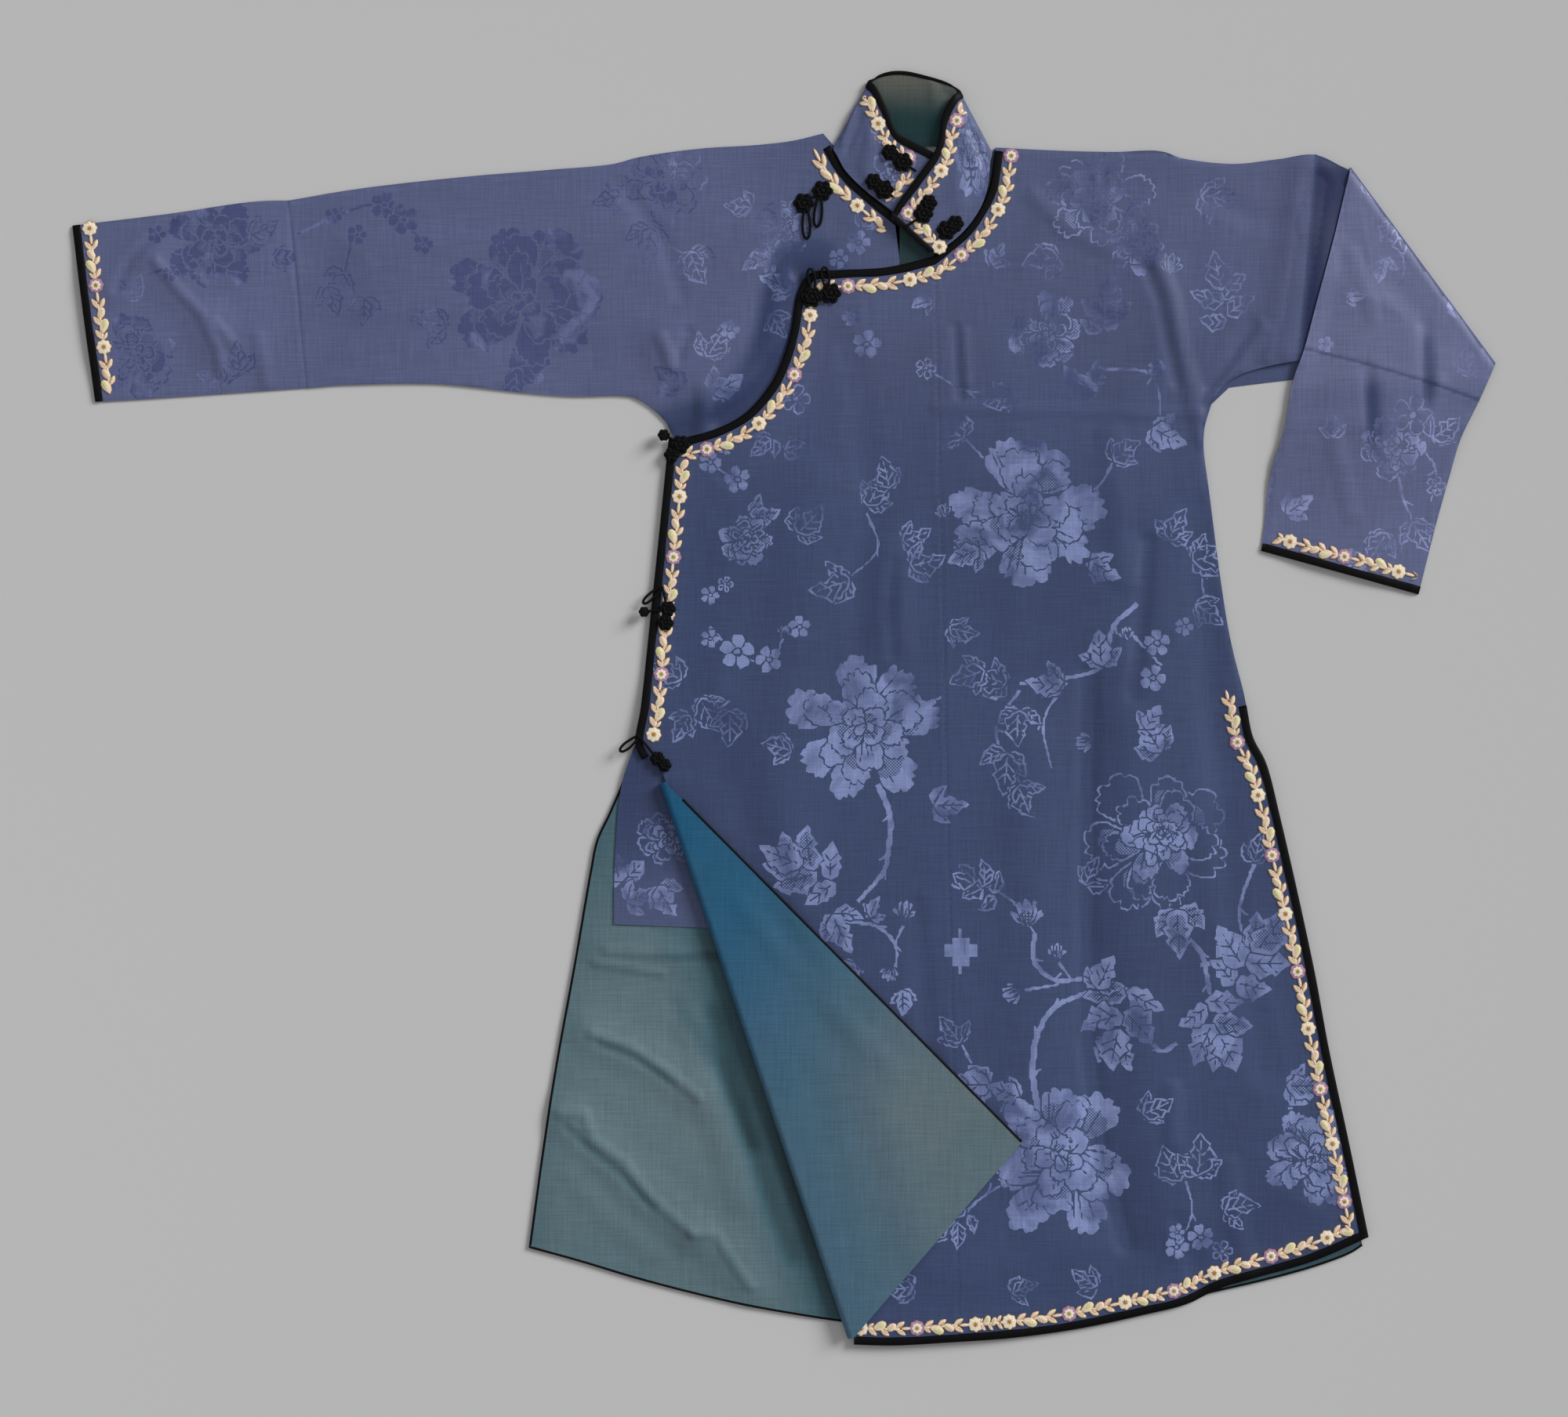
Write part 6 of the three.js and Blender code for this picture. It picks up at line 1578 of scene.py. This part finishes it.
def tube(path, radius, sides=7, closed=False):
    p = np.asarray(path, float)
    run = unit(np.roll(p, -1, axis=0) - np.roll(p, 1, axis=0) if closed else np.gradient(p, axis=0))
    aside = unit(np.cross(run, [0, 0, 1.0]))
    up = np.cross(aside, run)
    a = np.linspace(0, 2 * math.pi, sides, endpoint=False)[None, :, None]
    rings = p[:, None] + radius * (np.cos(a) * aside[:, None] + np.sin(a) * up[:, None])
    index = np.arange(len(p) * sides).reshape(len(p), sides)
    index = np.vstack([index, index[:1]]) if closed else index
    faces = gridQuads(np.column_stack([index, index[:, 0]])).tolist()
    if not closed:
        faces += [index[0, ::-1].tolist(), index[-1].tolist()]
    return rings.reshape(-1, 3), faces


ball = template(lambda: bpy.ops.mesh.primitive_uv_sphere_add(segments=14, ring_count=9, radius=1))


def rosetteParts(x, y, radius, z):
    parts = []
    a = np.linspace(0, 2 * math.pi, 90, endpoint=False)
    for reach, lift, turn in ((0.80, 0.5, 0.3), (0.48, 1.5, 0.9)):
        r = radius * (reach + 0.10 * np.cos(6 * a + turn))
        rise = z + lift + 0.4 + 0.35 * np.sin(6 * a + turn + 1.3)
        ring = np.column_stack([x + r * np.cos(a), y + r * np.sin(a), rise])
        parts.append(tube(ring, 1.6, frog["sides"], True))
    for wide, high, lift in ((0.3, 1.5, 1.9), (frog["crown"], 1.0, 0.6)):
        parts.append((ball[0] * [radius * wide, radius * wide, high] + [x, y, z + lift], ball[1]))
    return parts


def knotParts(x, y, radius, z):
    middle = np.array([x, y, z + radius * 0.8])
    parts = [(ball[0] * radius * frog["crown"] + middle, ball[1])]
    a = np.linspace(0, 2 * math.pi, 60, endpoint=False)
    for tilt in (0.0, 1.05, 2.1):
        rx, ry, rz = np.array([np.cos(a), np.sin(a) * math.cos(1.1), np.sin(a) * math.sin(1.1)]) * radius * 0.78
        c, s = math.cos(tilt), math.sin(tilt)
        ring = np.column_stack([rx * c - ry * s, rx * s + ry * c, rz])
        parts.append(tube(ring + middle, radius * 0.24, 6, True))
    return parts


# Half of a loop's outline, along and across, and then its mirror image
hairpin = [(0, -0.25), (0.35, -0.8), (0.7, -1), (0.93, -0.6), (1, 0)]
hairpin += [(r, -s) for r, s in hairpin[-2::-1]]


# Rosettes and knots: place and radius. Loops: foot, tip and half width. Cords: paths. All in mm
def makeFrog(name, node, height, rosettes=(), knots=(), loops=(), cords=()):
    parts = []
    for makeParts, places, sink in ((rosetteParts, rosettes, 0), (knotParts, knots, 0.5)):
        for x, y, radius in places:
            parts += makeParts(x, y, radius, float(height(np.array([x]), np.array([y]))[0]) - sink)
    lines = list(cords)
    for footX, footY, tipX, tipY, spread in loops:
        dx, dy = tipX - footX, tipY - footY
        long = math.hypot(dx, dy)
        lines.append([(footX + dx * r - dy / long * s * spread, footY + dy * r + dx / long * s * spread)
                      for r, s in hairpin])
    for line in lines:
        line = curve(line, 1.2)
        z = height(line[:, 0], line[:, 1])
        z = np.maximum(z, np.convolve(np.pad(z, 3, "edge"), np.ones(7) / 7, "valid")) + frog["cord"] + 0.1
        parts.append(tube(np.column_stack([line, z]), frog["cord"], frog["sides"]))
    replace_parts(newPiece(name, *joined(parts), [cordBlack], "cord"), node)


def onTrim(face, lift):
    return lambda x, y: face(x, y) + lift


collarFrogs = {"upper_under": ([(97.2, 509.8), (108.5, 501), (121, 492.5)], under),
               "lower_under": ([(82.1, 483.1), (91.4, 475.9), (100, 469)], under),
               "upper_over": ([(132.5, 463), (127.4, 453.2), (110, 440)], over),
               "lower_over": ([(157, 444.2), (149, 438.2), (142, 431.5)], over)}
for name, (spots, height) in collarFrogs.items():
    makeFrog("collar_frog_" + name, "frog_collar_" + name, onTrim(height, 1.0),
             [(*spots[0], 7.2), (*spots[1], 8.8)], cords=[spots])
makeFrog("chest_frog", "frog_chest", onTrim(faceInner, 0.3), [(35.3, 475.2, 9.2), (18, 463.7, 9.2)],
         loops=[(33, 472, 30.2, 442, 3.4), (20, 462, 20.9, 431, 3.4)], cords=[[(18, 463.7), (35.3, 475.2)]])
makeFrog("overlap_frog", "frog_overlap_corner", onTrim(faceOuter, 1.6), [(42.5, 380.9, 9.6), (25.2, 377.3, 9.6)],
         loops=[(27, 382, 23.8, 403, 3.2), (40, 384, 36.7, 404.5, 3.2)], cords=[[(25.2, 377.3), (42.5, 380.9)]])
makeFrog("underarm_frog", "frog_underarm", onTrim(faceOuter, 1.6), [(-95, 241.9, 8.4), (-103, 232.6, 6.4)],
         [(-110.2, 250.6, 5.6)], cords=[[(-110.2, 250.6), (-95, 241.9), (-103, 232.6)]])
makeFrog("side_frog", "frog_side", onTrim(faceOuter, 1.6), [(-106.6, 91.4, 6.8), (-108.7, 78.6, 6.8)],
         [(-128.2, 88.6, 5)], [(-112, 112, -129, 96.5, 2.6)],
         [[(-106.6, 91.4), (x, y)] for x, y in ((-128.2, 88.6), (-108.7, 78.6), (-112, 112))])
makeFrog("vent_frog", "frog_vent", onTrim(faceOuter, 1.2), [(-116, -46, 6), (-109.5, -52, 5.5)], (),
         [(-132.5, -25, -150, -39, 2.8)], [[(-117, -45), (-134.5, -23.5)]])
print("frogs tied")


# Floor, light and camera
studio = {"floor": "#CCCCCC", "floorSize": 14, "key": 2.42, "keySpread": 0.45, "fill": 9.0, "top": 12.0,
          "world": 0.24, "camera": 4.0}
bpy.ops.mesh.primitive_plane_add(size=studio["floorSize"], location=(0, 0, -0.0004))
floor = bpy.context.object
floor.name = "floor"
floorFinish, floorTree, floorShader = newFinish("paper_backdrop", 0.9, specular=0.1)
floorShader.inputs["Base Color"].default_value = fromHex(studio["floor"])
floor.data.materials.append(floorFinish)


def addLight(name, place, size, power):
    data = bpy.data.lights.new(name, "AREA" if size else "SUN")
    data.energy = power
    if size:
        data.shape, data.size = "SQUARE", size
    else:
        data.angle = studio["keySpread"]
    lamp = bpy.data.objects.new(name, data)
    bpy.context.collection.objects.link(lamp)
    lamp.location = place
    lamp.rotation_euler = (-Vector(place)).to_track_quat("-Z", "Y").to_euler()


addLight("key", (2.2, 1.5, 1.65), None, studio["key"])
addLight("fill", (-2.6, -1.2, 2.2), 2.2, studio["fill"])
addLight("top", (0.2, 0.3, 3.6), 3.0, studio["top"])
world = bpy.data.worlds.new("studio")
bpy.context.scene.world = world
world.use_nodes = True
world.node_tree.nodes["Background"].inputs["Color"].default_value = (1, 1, 1, 1)
world.node_tree.nodes["Background"].inputs["Strength"].default_value = studio["world"]
bpy.context.scene.view_settings.view_transform = "Standard"

cameraData = bpy.data.cameras.new("camera")
cameraData.lens, cameraData.sensor_width = 100, 36
camera = bpy.data.objects.new("camera", cameraData)
bpy.context.collection.objects.link(camera)
camera.location = (0, 0, studio["camera"])
bpy.context.scene.camera = camera
print("studio set")
